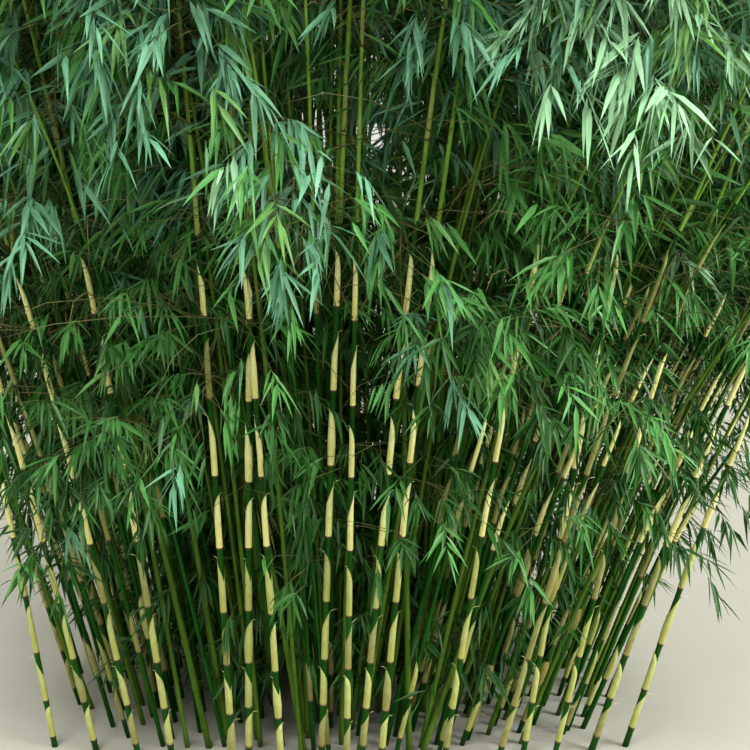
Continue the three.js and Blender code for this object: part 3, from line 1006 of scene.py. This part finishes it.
def add_sheaths(gathered, canes, rows, rings, sides):
    """Adds sheaths: closed shells round their canes, each drawn to a point on one side."""
    rings = np.array(rings)
    shape = straight_stem(sides, len(rings) - 1)
    ring = np.rint(shape.corners[:, 2]).astype(int)
    angle = np.arctan2(shape.corners[:, 1], shape.corners[:, 0])
    index, foot, height, side, bulge, colour = rows.T
    limbs = limbs_of(canes).chosen(index.astype(int))
    tops = sheath_tops(angle[None] - side[:, None])
    bulging = (bulge == BULGING)[:, None]
    top = np.where(bulging, settings().sheath_high, tops) * height[:, None]
    level = np.where(ring == 1, BASE_RING_HEIGHT, rings[ring, 0] * top)
    shares = (foot[:, None] + 1 + level) / limbs.length[:, None]
    along = limbs.directions(shares)
    right, front = cross_axes(along)
    across = right * np.cos(angle)[:, None] + front * np.sin(angle)[:, None]
    swell = 1 + bulge[:, None] * np.sin(math.pi * rings[ring, 0]) ** 1.2
    towards_point = np.clip(np.cos(angle - side[:, None]), 0, 1) ** 3
    point = (ring == len(rings) - 1) * POINT_OFF_CANE * towards_point * ~bulging
    radii = limbs.radii(shares) * swell + rings[ring, 1] + point
    finishes = sheath_finishes(shape, ring, len(rings), colour, bulge)
    gathered.add(limbs.points(shares) + across * radii[..., None], shape.triangles, finishes)


def sheath_finishes(shape, ring, rings, colour, bulge):
    """A finish for each triangle of each sheath: the dark foot, the lower part and the upper part."""
    lowest = ring[shape.triangles].min(axis=1)
    upper = lowest >= rings / 2
    shown = np.where(lowest == 0, 0, colour[:, None].astype(int) + upper)
    weathered = (colour == DRY) & (bulge == BULGING)
    return np.where(weathered[:, None] & (lowest > 0), WEATHERED, shown)


def add_spurs(gathered, canes, rows):
    """Adds the thin spur at each sheath's point."""
    index, foot, height, side = rows.T[:4]
    limbs = limbs_of(canes).chosen(index.astype(int))
    shares = (foot + height * settings().sheath_high)[:, None] / limbs.length[:, None]
    along = limbs.directions(shares)[:, 0]
    right, front = cross_axes(along)
    outward = right * np.cos(side)[:, None] + front * np.sin(side)[:, None]
    direction = unit(outward + along * SPUR_BEND)
    spurs = Limbs(
        start=limbs.points(shares)[:, 0] + outward * limbs.radii(shares),
        heading=np.arctan2(direction[:, 1], direction[:, 0]),
        rise=np.arcsin(direction[:, 2]),
        droop=SPUR_BEND,
        length=SPUR_LENGTH + SPUR_LONGER * np.sin(13 * foot),
        radius=SPUR_RADIUS,
        tip_radius=SPUR_TIP_RADIUS,
    )
    add_pointed(gathered, spurs, 2, 2)


def add_pointed(gathered, limbs, steps, finish):
    """Adds three-sided stems that end in a point."""
    shape = straight_stem(3, steps, pointed=True)
    ring = np.rint(shape.corners[:, 2]).astype(int)
    shares = np.broadcast_to(ring / steps, (len(limbs), len(ring)))
    along = limbs.directions(shares)
    zero = np.zeros(len(limbs))
    across = np.stack([-np.sin(limbs.heading), np.cos(limbs.heading), zero], axis=-1)[:, None]
    front = np.cross(along, across)
    offset = across * shape.corners[:, :1] + front * shape.corners[:, 1:2]
    gathered.add(limbs.points(shares) + offset * limbs.radii(shares)[..., None], shape.triangles, finish)


def branch_starts(canes, places_on):
    """Where branches leave their canes, and at what share of its length, from the places on each cane."""
    places = [places_on(cane) for cane in canes]
    owners = np.repeat(np.arange(len(canes)), [len(each) for each in places])
    parents = limbs_of(canes).chosen(owners)
    shares = np.concatenate(places) / parents.length
    return parents.points_at(shares), shares


def side_branches(start, heading, rise, habit, dice):
    """Side branches of one habit from their starts, headings and rises."""
    count = len(start)
    return Limbs(
        start=start,
        heading=heading,
        rise=rise,
        droop=rise + dice.uniform(*habit.droops, count),
        length=dice.uniform(*habit.lengths, count),
        radius=dice.uniform(*habit.radii, count),
        tip_radius=habit.tip_radius,
    )


def shorten(limbs):
    """Shortens limbs until their tips are in the crown, and drops those that come out too short."""
    for _ in range(SHORTEN_STEPS):
        long = beyond_crown(limbs.points_at(1.08))
        limbs.length = np.where(long, limbs.length * SHORTEN_BY, limbs.length)
    return limbs.chosen(limbs.length >= SHORTEST_BRANCH)


def grow_branches(canes, dice):
    """The side branches of the crown, which leave their canes outwards and arch over."""

    def places_on(cane):
        spots = limbs_of([cane]).points((cane["places"] / cane["length"])[None])[0]
        from_side = (1 - crown_share(spots)) * crown_reach(spots[:, 2])
        inside = np.minimum(from_side, CROWN_TOP - BRANCHES_BELOW_TOP - spots[:, 2])
        chance = np.clip(INSIDE_FEWER_FROM - inside / INSIDE_FEWER_OVER, INSIDE_FEWEST, 1)
        seen = (spots[:, 1] < SEEN_BEFORE_Y) & (spots[:, 2] < SEEN_BELOW)
        chance = np.where(seen | cane["front"], 1, chance)
        heart = np.hypot(spots[:, 0], spots[:, 1]) < BRANCHING_HEART
        heart &= spots[:, 2] > BRANCHING_HEART_FROM
        many = np.where(heart, BRANCHES_IN_HEART, BRANCHES if cane["node"] else BRANCHES_BETWEEN)
        leafy = spots[:, 2] > BRANCHES_FROM[cane["age"]]
        return np.repeat(cane["places"], np.where(leafy, dice.poisson(many * chance), 0))

    start, shares = branch_starts(canes, places_on)
    count = len(start)
    outward = np.arctan2(start[:, 1] / CROWN_DEPTH_RATIO, start[:, 0])
    spread = np.where(np.hypot(start[:, 0], start[:, 1]) < MIDDLE, MIDDLE_SPREAD, OUTER_SPREAD)
    rise = dice.uniform(*CROWN_HABIT.rises, count)
    heading = outward + dice.normal(0, 1, count) * spread
    branches = side_branches(start, heading, rise, CROWN_HABIT, dice)
    length = settings().branch_length / MM * branches.length
    branches.length = length * (1.1 - SHORTER_HIGH_UP * shares**3)
    return shorten(branches)


def arch_to(start, target, rise):
    """The droop and length of a limb that sets off at a rise and ends at a target."""
    span = math.hypot(target[0] - start[0], target[1] - start[1])
    drop = target[2] - start[2]
    droop = np.linspace(0.1, rise + 1.5, 200)
    out = (2 * math.cos(rise) + np.cos(rise - droop)) / 3
    up = (2 * math.sin(rise) + np.sin(rise - droop)) / 3
    best = np.argmin(np.abs(np.arctan2(up, out) - math.atan2(drop, span)))
    return droop[best], math.hypot(span, drop) / math.hypot(out[best], up[best])


def grow_front_boughs(canes):
    """The boughs that hang before the canes: each leaves the front cane that is nearest behind its place."""
    front = limbs_of([cane for cane in canes if cane["front"]])
    shares = np.broadcast_to(np.linspace(0.2, 0.8, 40), (len(front), 40))
    spots = front.points(shares).reshape(-1, 3)
    rows = []
    for target in np.array(FRONT_BOUGHS):
        start = spots[np.argmin(np.linalg.norm(spots - (target + BOUGH_BEHIND), axis=1))]
        heading = math.atan2(target[1] - start[1], target[0] - start[0])
        rows.append((*start, heading, *arch_to(start, target, BOUGH_RISE)))
    rows = np.array(rows)
    return Limbs(
        start=rows[:, :3],
        heading=rows[:, 3],
        rise=BOUGH_RISE,
        droop=rows[:, 4],
        length=rows[:, 5],
        radius=BOUGH_RADIUS,
        tip_radius=BOUGH_TIP_RADIUS,
    )


def grow_shaded(canes, dice):
    """Short side branches low on the canes behind the front row, in its shade."""

    def places_on(cane):
        x, y, _ = cane["start"]
        if cane["front"] or y <= SHADED_FROM_Y:
            return []
        foot = SHADED_SIDE_FROM if abs(x) > SHADED_SIDE else 0
        low = cane["places"][between(cane["places"], (foot, SHADED_TO))]
        return np.repeat(low, dice.poisson(banded(SHADED_SHARE, x), len(low)))

    start, _ = branch_starts(canes, places_on)
    rise = dice.uniform(*SHADED_HABIT.rises, len(start))
    heading = dice.uniform(0, FULL_TURN, len(start))
    return side_branches(start, heading, rise, SHADED_HABIT, dice)


def grow_low_front(canes, dice):
    """Short side branches low on the canes near the front, fewest near the ground and on the right."""

    def places_on(cane):
        x, y, _ = cane["start"]
        if y >= LOW_BEFORE_Y:
            return []
        low = cane["places"][between(cane["places"], (LOW_FROM, LOW_TO))]
        rising = np.clip((low - LOW_FROM) / banded(LOW_RISE_OVER, x), LOW_LEAST, 1)
        return np.repeat(low, dice.poisson(banded(LOW_SHARE, x) * rising))

    start, _ = branch_starts(canes, places_on)
    rise = dice.uniform(*LOW_HABIT.rises, len(start))
    heading = -FULL_TURN / 4 + dice.normal(*LOW_HEADING, len(start))
    return side_branches(start, heading, rise, LOW_HABIT, dice)


def grow_tip_sprays(canes, dice):
    """Short side branches round the canes' tips, so that no tip stands bare."""
    limbs = limbs_of(canes)
    tips = limbs.points_at(1.0)
    central = np.hypot(tips[:, 0], tips[:, 1]) < HEART
    owners = np.repeat(np.arange(len(canes)), np.where(central, HEART_SPRAYS, TIP_SPRAYS))
    parents = limbs.chosen(owners)
    central = central[owners]
    count = len(owners)
    shares = dice.uniform(np.where(central, HEART_SPRAYS_FROM, TIP_SPRAYS_FROM), TIP_SPRAYS_TO)
    rise = dice.uniform(*TIP_SPRAYS_RISES, count)
    return Limbs(
        start=parents.points_at(shares),
        heading=parents.heading + dice.normal(0, TIP_SPRAYS_SPREAD, count),
        rise=rise,
        droop=rise + dice.uniform(*TIP_SPRAYS_DROOPS, count),
        length=dice.uniform(*TIP_SPRAYS_LENGTHS, count) * np.where(central, HEART_SPRAYS_LONGER, 1),
        radius=TIP_SPRAYS_RADIUS,
        tip_radius=TIP_SPRAYS_TIP_RADIUS,
    )


def offshoots(limbs, count, places, turns, dice):
    """Offshoots on alternate sides of limbs and one at each tip: limb, share, root, heading and slope."""
    first, rest, offset, tip = places
    tip_spread, least, most = turns
    owner = np.repeat(np.arange(len(limbs)), count)
    number = np.arange(len(owner)) - np.repeat(np.cumsum(count) - count, count)
    last = number == count[owner] - 1
    share = np.where(last, tip, first + rest * (number + offset) / count[owner])
    side = np.where(number % 2, 1.0, -1.0)
    parents = limbs.chosen(owner)
    at_tip = dice.normal(0, tip_spread, len(owner))
    turn = np.where(last, at_tip, side * dice.uniform(least, most, len(owner)))
    slope = np.arcsin(parents.directions(share[:, None])[:, 0, 2])
    return owner, share, parents.points_at(share), parents.heading + turn, slope


def grow_twigs(branches, spacing, dice):
    """The twigs on side branches. Returns each twig's branch too."""
    many = np.maximum(2, np.rint(0.8 * branches.length / spacing)).astype(int)
    owner, share, root, heading, slope = offshoots(branches, many, TWIG_PLACES, TWIG_TURNS, dice)
    count = len(owner)
    size = settings().twig_length / MM
    rise = TWIG_FOLLOWS * slope + dice.uniform(*TWIG_RISES, count)
    twigs = Limbs(
        start=root,
        heading=heading,
        rise=np.clip(rise, -TWIG_STEEPEST, TWIG_STEEPEST),
        droop=dice.uniform(*TWIG_DROOPS, count),
        length=size * dice.uniform(*TWIG_LENGTHS, count) * (1.15 - 0.45 * share),
        radius=TWIG_RADIUS,
        tip_radius=TWIG_TIP_RADIUS,
    )
    return twigs, owner


def hang_leaves(twigs, per_twig, dice):
    """The leaves on twigs, hanging. Returns their roots, directions and twigs."""
    many = dice.integers(per_twig - 1, per_twig + 2, len(twigs))
    owner, _, root, heading, slope = offshoots(twigs, many, LEAF_PLACES, LEAF_TURNS, dice)
    rise = LEAF_FOLLOWS * slope - dice.uniform(*LEAF_FALLS, len(owner))
    rise = np.clip(rise, LEAF_STEEPEST_FALL, LEAF_STEEPEST_RISE)
    level = np.cos(rise)
    direction = np.stack([np.cos(heading) * level, np.sin(heading) * level, np.sin(rise)], axis=-1)
    return root, direction, owner


def spray_colours(places, lit, dice):
    """A colour for each spray: painted shade low down and inside, a painted bluish sky reflection higher up,
    and sunlit high on the right in front.
    """
    x, y, z = places.T
    outer = np.maximum(ramp(crown_share(places), *OUTER_SHARES), lit)
    sunny = (x > SUNLIT_X) & (y < SUNLIT_BEFORE_Y) & between(z, SUNLIT_Z)
    low = ramp(z, *LOW_SPRAYS_Z)
    right = x > REFLECTION_HIGHER_FROM_X
    high = ramp(z - REFLECTION_HIGHER * right, *REFLECTION_Z)
    reflection = high * np.maximum(ramp(z, *REFLECTION_GONE_Z), REFLECTION_LEAST)
    # Painted shade: the shaded colour is likelier low down and deep inside the crown
    deep = 0.12 - 0.10 * outer + 0.6 * low
    # Painted reflection: the bluish sky reflection comes higher up, and on the lit boughs lower down on the
    # left
    blue = 0.01 + (0.44 + 0.12 * outer) * reflection + 0.4 * lit * (1 - high) * ~right
    fresh = (0.04 + 0.06 * outer) * (1 - 0.7 * low) + np.where(x > FRESH_FROM_X, 0.1 * high, 0)
    sunlit = np.where(sunny, 0.20 + 0.25 * lit, 0.02 * outer)
    yellow = np.full(len(places), YELLOW_SHARE)
    middle = 1.0 - np.clip(deep + blue + fresh + sunlit + yellow, 0, 0.95)
    chances = np.stack([deep, middle, blue, fresh, sunlit, yellow], axis=-1)
    edges = np.cumsum(chances / chances.sum(axis=1, keepdims=True), axis=1)
    return (dice.uniform(0, 1, len(places))[:, None] > edges).sum(axis=1).clip(0, 5)


class Foliage:
    """The side branches, twigs and leaves, each with the part of the crown that it belongs to."""

    def __init__(self, canes):
        dice = np.random.default_rng(settings().seed)
        sets = [
            grow_branches(canes, dice),
            grow_front_boughs(canes),
            grow_shaded(canes, dice),
            grow_low_front(canes, dice),
            grow_tip_sprays(canes, dice),
        ]
        branches = joined(*sets)
        kind = np.repeat(np.arange(len(sets)), [len(each) for each in sets])
        ends = branches.points_at(1.0)
        kept = (ends[:, 2] > LOWEST_TIP) & (crown_share(ends) < LEAVES_REACH)
        self.branches = branches.chosen(kept)
        kind = kind[kept]
        spacing = np.choose(kind, [settings().twig_spacing / MM, *TWIG_SPACINGS])
        twigs, owner = grow_twigs(self.branches, spacing, dice)
        tips = twigs.points_at(1.0)
        thinned = dice.uniform(0, 1, len(tips)) < missing_share(tips)
        inside = between(tips[:, 2], (LOWEST_TIP, LEAVES_TOP)) & (crown_share(tips) < LEAVES_REACH)
        placed = (in_crown(tips) & ~thinned | (kind[owner] != CROWN)) & inside
        self.twigs = twigs.chosen(placed)
        self.twig_branch = owner[placed]
        self.twig_kind = kind[self.twig_branch]
        lit = (self.twig_kind == BOUGH) * np.maximum(ramp(self.twigs.start[:, 2], *LIT_Z), LIT_LEAST)
        colour = spray_colours(self.twigs.start, lit, dice)
        # The sprays on the low branches in the shade all take the painted shade colour
        self.twig_colour = np.where(self.twig_kind == SHADED, 0, colour)
        self.branch_part = crown_parts(self.branches.start)
        self.grow_leaves(dice)

    def grow_leaves(self, dice):
        """Grows the leaves, and keeps those that hang in the crown or on the branches placed below it."""
        root, direction, owner = hang_leaves(self.twigs, settings().leaves_per_twig, dice)
        kind = self.twig_kind[owner]
        length = settings().leaf_length / MM * dice.uniform(*LEAF_LENGTHS, len(owner))
        length *= np.choose(kind, LEAF_SIZES)
        high_bough = (kind == BOUGH) & (root[:, 2] > HIGH_BOUGHS_FROM)
        length *= np.where(high_bough, HIGH_BOUGHS_LEAF_SIZE, 1)
        tip = root + direction * length[:, None]
        inside = (crown_share(tip) < LEAVES_REACH) & (tip[:, 2] < LEAVES_TOP)
        kept = in_crown(tip) & in_crown(root) | np.isin(kind, (BOUGH, TIP)) & inside
        kept |= np.isin(kind, (SHADED, LOW)) & (tip[:, 2] > LOWEST_LEAF)
        for spot in (root, tip, (root + tip) / 2):
            kept &= ~before_free_canes(spot)
        self.root = root[kept]
        self.direction = direction[kept]
        self.length = length[kept]
        leaf_twig = owner[kept]
        self.colour = self.twig_colour[leaf_twig]
        self.part = self.branch_part[self.twig_branch[leaf_twig]]
        self.fine = (self.root[:, 1] < FINE_LEAF_BEFORE_Y) & (self.root[:, 2] < FINE_LEAF_BELOW)
        count = len(self.root)
        self.roll = dice.normal(0, LEAF_ROLL, count)
        self.twist = dice.normal(0, LEAF_TWIST, count)
        self.bend = dice.uniform(*LEAF_BENDS, count)
        self.width = self.length * settings().leaf_width * dice.uniform(*LEAF_WIDTHS, count)


def crown_parts(points):
    """The part of the crown that each branch belongs to: its ring, and as many on behind, but for the top."""
    ring = np.digitize(points[:, 2], RING_TOPS)
    behind = (points[:, 1] >= 0) & (ring < len(RING_TOPS))
    return ring + len(RINGS) * behind


def part_nodes(part):
    """A part of the crown's own name, and the frame's foliage nodes that it stands for."""
    ring = list(RINGS)[part % len(RINGS)]
    back = part >= len(RINGS)
    names = []
    for i in range(RINGS[ring]):
        angle = (i + RING_TURNS[ring]) * FULL_TURN / RINGS[ring] - FULL_TURN / 4
        behind = math.sin(angle) >= -1e-6
        if ring == "top" or behind == back:
            names.append(f"foliage_{ring}_{i + 1}")
    return ring if ring == "top" else f"{ring}_{'behind' if back else 'front'}", names


@functools.lru_cache
def grow_foliage():
    return Foliage(grow_canes())


def leaf_corners(foliage, which, stations, widths):
    """The corners of leaves: folded along their midribs, twisted, and drooping towards their tips."""
    shape = flat_leaf(len(stations) - 1)
    station = np.rint(shape.corners[:, 0]).astype(int)
    side = shape.corners[:, 1]
    along = foliage.direction[which]
    length = foliage.length[which][:, None, None]
    width = foliage.width[which][:, None, None]
    across = unit(np.cross(UP, along))
    normal = np.cross(along, across)
    share = np.array(stations)[station]
    half = (np.array(widths)[station] * side / 2)[None, :, None]
    turn = (foliage.roll[which][:, None] + foliage.twist[which][:, None] * share)[..., None]
    level = across[:, None] * np.cos(turn) + normal[:, None] * np.sin(turn)
    raised = normal[:, None] * np.cos(turn) - across[:, None] * np.sin(turn)
    corners = foliage.root[which][:, None] + along[:, None] * length * share[None, :, None]
    corners = corners + level * half * width + raised * np.abs(half) * width * FOLD
    sag = foliage.bend[which][:, None, None] * length * share[None, :, None] ** 2
    return corners - UP * sag, shape.triangles


def toned(hue, factor):
    """A colour made darker or lighter."""
    return (*[min(1.0, channel * factor) for channel in hue], 1)


def patterned(name, hue, kind, sheen=0.0):
    """A finish whose colour and relief vary over the surface in patches or streaks."""
    values = FINISHES[kind]
    material = bpy.data.materials.new(name)
    material.use_nodes = True
    nodes = material.node_tree.nodes
    shader = nodes["Principled BSDF"]
    place = nodes.new("ShaderNodeTexCoord")
    mapping = nodes.new("ShaderNodeMapping")
    mapping.inputs["Scale"].default_value = values["stretch"]
    noise = nodes.new("ShaderNodeTexNoise")
    noise.inputs["Scale"].default_value = values["scale"]
    noise.inputs["Detail"].default_value = 4
    shades = nodes.new("ShaderNodeValToRGB")
    for stop, position, way in zip(shades.color_ramp.elements, (0.3, 0.7), (-1, 1)):
        stop.position = position
        stop.color = toned(hue, 1 + way * values["spread"])
    bump = nodes.new("ShaderNodeBump")
    bump.inputs["Strength"].default_value = values["bump"]
    bump.inputs["Distance"].default_value = MM
    for start, end in (
        (place.outputs["Object"], mapping.inputs["Vector"]),
        (mapping.outputs["Vector"], noise.inputs["Vector"]),
        (noise.outputs["Fac"], shades.inputs["Fac"]),
        (shades.outputs["Color"], shader.inputs["Base Color"]),
        (noise.outputs["Fac"], bump.inputs["Height"]),
        (bump.outputs["Normal"], shader.inputs["Normal"]),
    ):
        material.node_tree.links.new(start, end)
    shader.inputs["Roughness"].default_value = values["rough"]
    shader.inputs["Specular IOR Level"].default_value = values["gloss"]
    shader.inputs["Sheen Weight"].default_value = sheen
    return material


def finish(kind, name):
    """A finish in one of the clump's colours: a smooth cane, a papery sheath, a twig or a satin leaf."""
    hue = getattr(bpy.context.scene.clump_colours, name)
    return patterned(name, hue, kind, sheen=SHEATH_SHEEN if kind == "sheath" else 0.0)


class BAMBOO_OT_stage(bpy.types.Operator):
    """Sets the floor, the soft lights and the camera at the photograph's angle"""

    bl_idname = "bamboo.stage"
    bl_label = "Stage"

    def execute(self, context):
        scene = context.scene
        scene.view_settings.view_transform = "Standard"
        floor = bpy.data.objects.new("floor", bpy.data.meshes.new("floor"))
        mesh = bmesh.new()
        bmesh.ops.create_grid(mesh, x_segments=1, y_segments=1, size=FLOOR_HALF_WIDTH)
        mesh.to_mesh(floor.data)
        mesh.free()
        floor.data.materials.append(patterned("floor", FLOOR_COLOUR, "floor"))
        scene.collection.objects.link(floor)
        for name, (place, width, power) in LIGHTS.items():
            light = bpy.data.lights.new(name, "AREA")
            light.shape = "DISK"
            light.size = width
            light.energy = power
            lamp = bpy.data.objects.new(name, light)
            lamp.location = place
            lamp.rotation_euler = (Vector(LIGHTS_AIM) - lamp.location).to_track_quat("-Z", "Y").to_euler()
            scene.collection.objects.link(lamp)
        scene.world = bpy.data.worlds.new("studio")
        scene.world.use_nodes = True
        background = scene.world.node_tree.nodes["Background"]
        background.inputs["Color"].default_value = ROOM_COLOUR
        background.inputs["Strength"].default_value = ROOM_LIGHT
        camera = bpy.data.objects.new("camera", bpy.data.cameras.new("camera"))
        camera.location = CAMERA_PLACE
        camera.rotation_euler = (math.radians(90 - CAMERA_DOWN), 0, 0)
        camera.data.sensor_width = SENSOR_WIDTH
        camera.data.lens = SENSOR_WIDTH * FOCAL_LENGTH_IN_PICTURE / PICTURE_WIDTH
        camera.data.clip_start = 0.05
        scene.collection.objects.link(camera)
        scene.camera = camera
        return {"FINISHED"}


class BAMBOO_OT_canes(bpy.types.Operator):
    """Grows the canes with their nodes"""

    bl_idname = "bamboo.canes"
    bl_label = "Canes"

    def execute(self, context):
        canes = grow_canes()
        for age in ("young", "old"):
            gathered = JoinedMesh()
            own = [cane for cane in canes if cane["age"] == age]
            for cane in own:
                add_cane(gathered, cane)
            nodes = sorted({cane["node"] for cane in own} - {""})
            finishes = [finish("cane", name) for name in (f"culm_{age}", "culm_high")]
            gathered.piece(f"canes_{age}", finishes, nodes)
        return {"FINISHED"}


class BAMBOO_OT_sheaths(bpy.types.Operator):
    """Wraps the young canes in their sheaths"""

    bl_idname = "bamboo.sheaths"
    bl_label = "Sheaths"

    def execute(self, context):
        canes = grow_canes()
        rows = sheath_rows(canes)
        front = np.array([canes[int(i)]["front"] for i in rows[:, 0]])
        finishes = [finish("sheath", name) for name in SHEATH_COLOURS]
        for name, which, rings, sides in (
            ("sheaths_front", front, FRONT_SHEATH_RINGS, FRONT_SHEATH_SIDES),
            ("sheaths_behind", ~front, TUFT_SHEATH_RINGS, TUFT_SHEATH_SIDES),
        ):
            gathered = JoinedMesh()
            add_sheaths(gathered, canes, rows[which], rings, sides)
            if name == "sheaths_front":
                add_spurs(gathered, canes, rows[which])
            gathered.piece(name, finishes)
        return {"FINISHED"}


class BAMBOO_OT_twigs(bpy.types.Operator):
    """Grows the side branches and the twigs"""

    bl_idname = "bamboo.twigs"
    bl_label = "Twigs"

    def execute(self, context):
        foliage = grow_foliage()
        twigs = foliage.twigs
        twig_part = foliage.branch_part[foliage.twig_branch]
        fine = (twigs.start[:, 1] < FINE_TWIG_BEFORE_Y) & (twigs.start[:, 2] < FINE_TWIG_BELOW)
        bark = finish("twig", "twig")
        for name, parts in (("twigs_front", (0, 1, 2, 3)), ("twigs_behind", (4, 5, 6))):
            gathered = JoinedMesh()
            add_pointed(gathered, foliage.branches.chosen(np.isin(foliage.branch_part, parts)), 4, 0)
            here = np.isin(twig_part, parts)
            add_pointed(gathered, twigs.chosen(here & fine), 2, 0)
            add_pointed(gathered, twigs.chosen(here & ~fine), 1, 0)
            gathered.piece(name, [bark])
        return {"FINISHED"}


class BAMBOO_OT_leaves(bpy.types.Operator):
    """Grows the leaves in their sprays"""

    bl_idname = "bamboo.leaves"
    bl_label = "Leaves"

    def execute(self, context):
        foliage = grow_foliage()
        finishes = [finish("leaf", name) for name in LEAF_COLOURS]
        for part in range(len(RINGS) + len(RING_TOPS)):
            gathered = JoinedMesh()
            for fine, outline in ((True, FINE_LEAF), (False, PLAIN_LEAF)):
                which = (foliage.part == part) & (foliage.fine == fine)
                corners, triangles = leaf_corners(foliage, which, *outline)
                gathered.add(corners, triangles, foliage.colour[which][:, None])
            name, nodes = part_nodes(part)
            gathered.piece(f"leaves_{name}", finishes, nodes, smooth=False)
        return {"FINISHED"}


class BAMBOO_PT_clump(bpy.types.Panel):
    """Lists the clump's pieces and settings"""

    bl_label = "Bamboo clump"
    bl_idname = "BAMBOO_PT_clump"
    bl_space_type = "VIEW_3D"
    bl_region_type = "UI"
    bl_category = "Bamboo"

    def draw(self, context):
        for group in (context.scene.clump_settings, context.scene.clump_colours):
            for name in group.__annotations__:
                self.layout.prop(group, name)
        for operator in OPERATORS:
            self.layout.operator(operator.bl_idname)


OPERATORS = (BAMBOO_OT_stage, BAMBOO_OT_canes, BAMBOO_OT_sheaths, BAMBOO_OT_twigs, BAMBOO_OT_leaves)
CLASSES = (ClumpSettings, ClumpColours, *OPERATORS, BAMBOO_PT_clump)


def register():
    for each in CLASSES:
        bpy.utils.register_class(each)
    bpy.types.Scene.clump_settings = bpy.props.PointerProperty(type=ClumpSettings)
    bpy.types.Scene.clump_colours = bpy.props.PointerProperty(type=ClumpColours)


def unregister():
    del bpy.types.Scene.clump_settings
    del bpy.types.Scene.clump_colours
    for each in reversed(CLASSES):
        bpy.utils.unregister_class(each)


def main():
    register()
    bpy.ops.bamboo.stage()
    bpy.ops.bamboo.canes()
    bpy.ops.bamboo.sheaths()
    bpy.ops.bamboo.twigs()
    bpy.ops.bamboo.leaves()


if __name__ == "__main__":
    main()
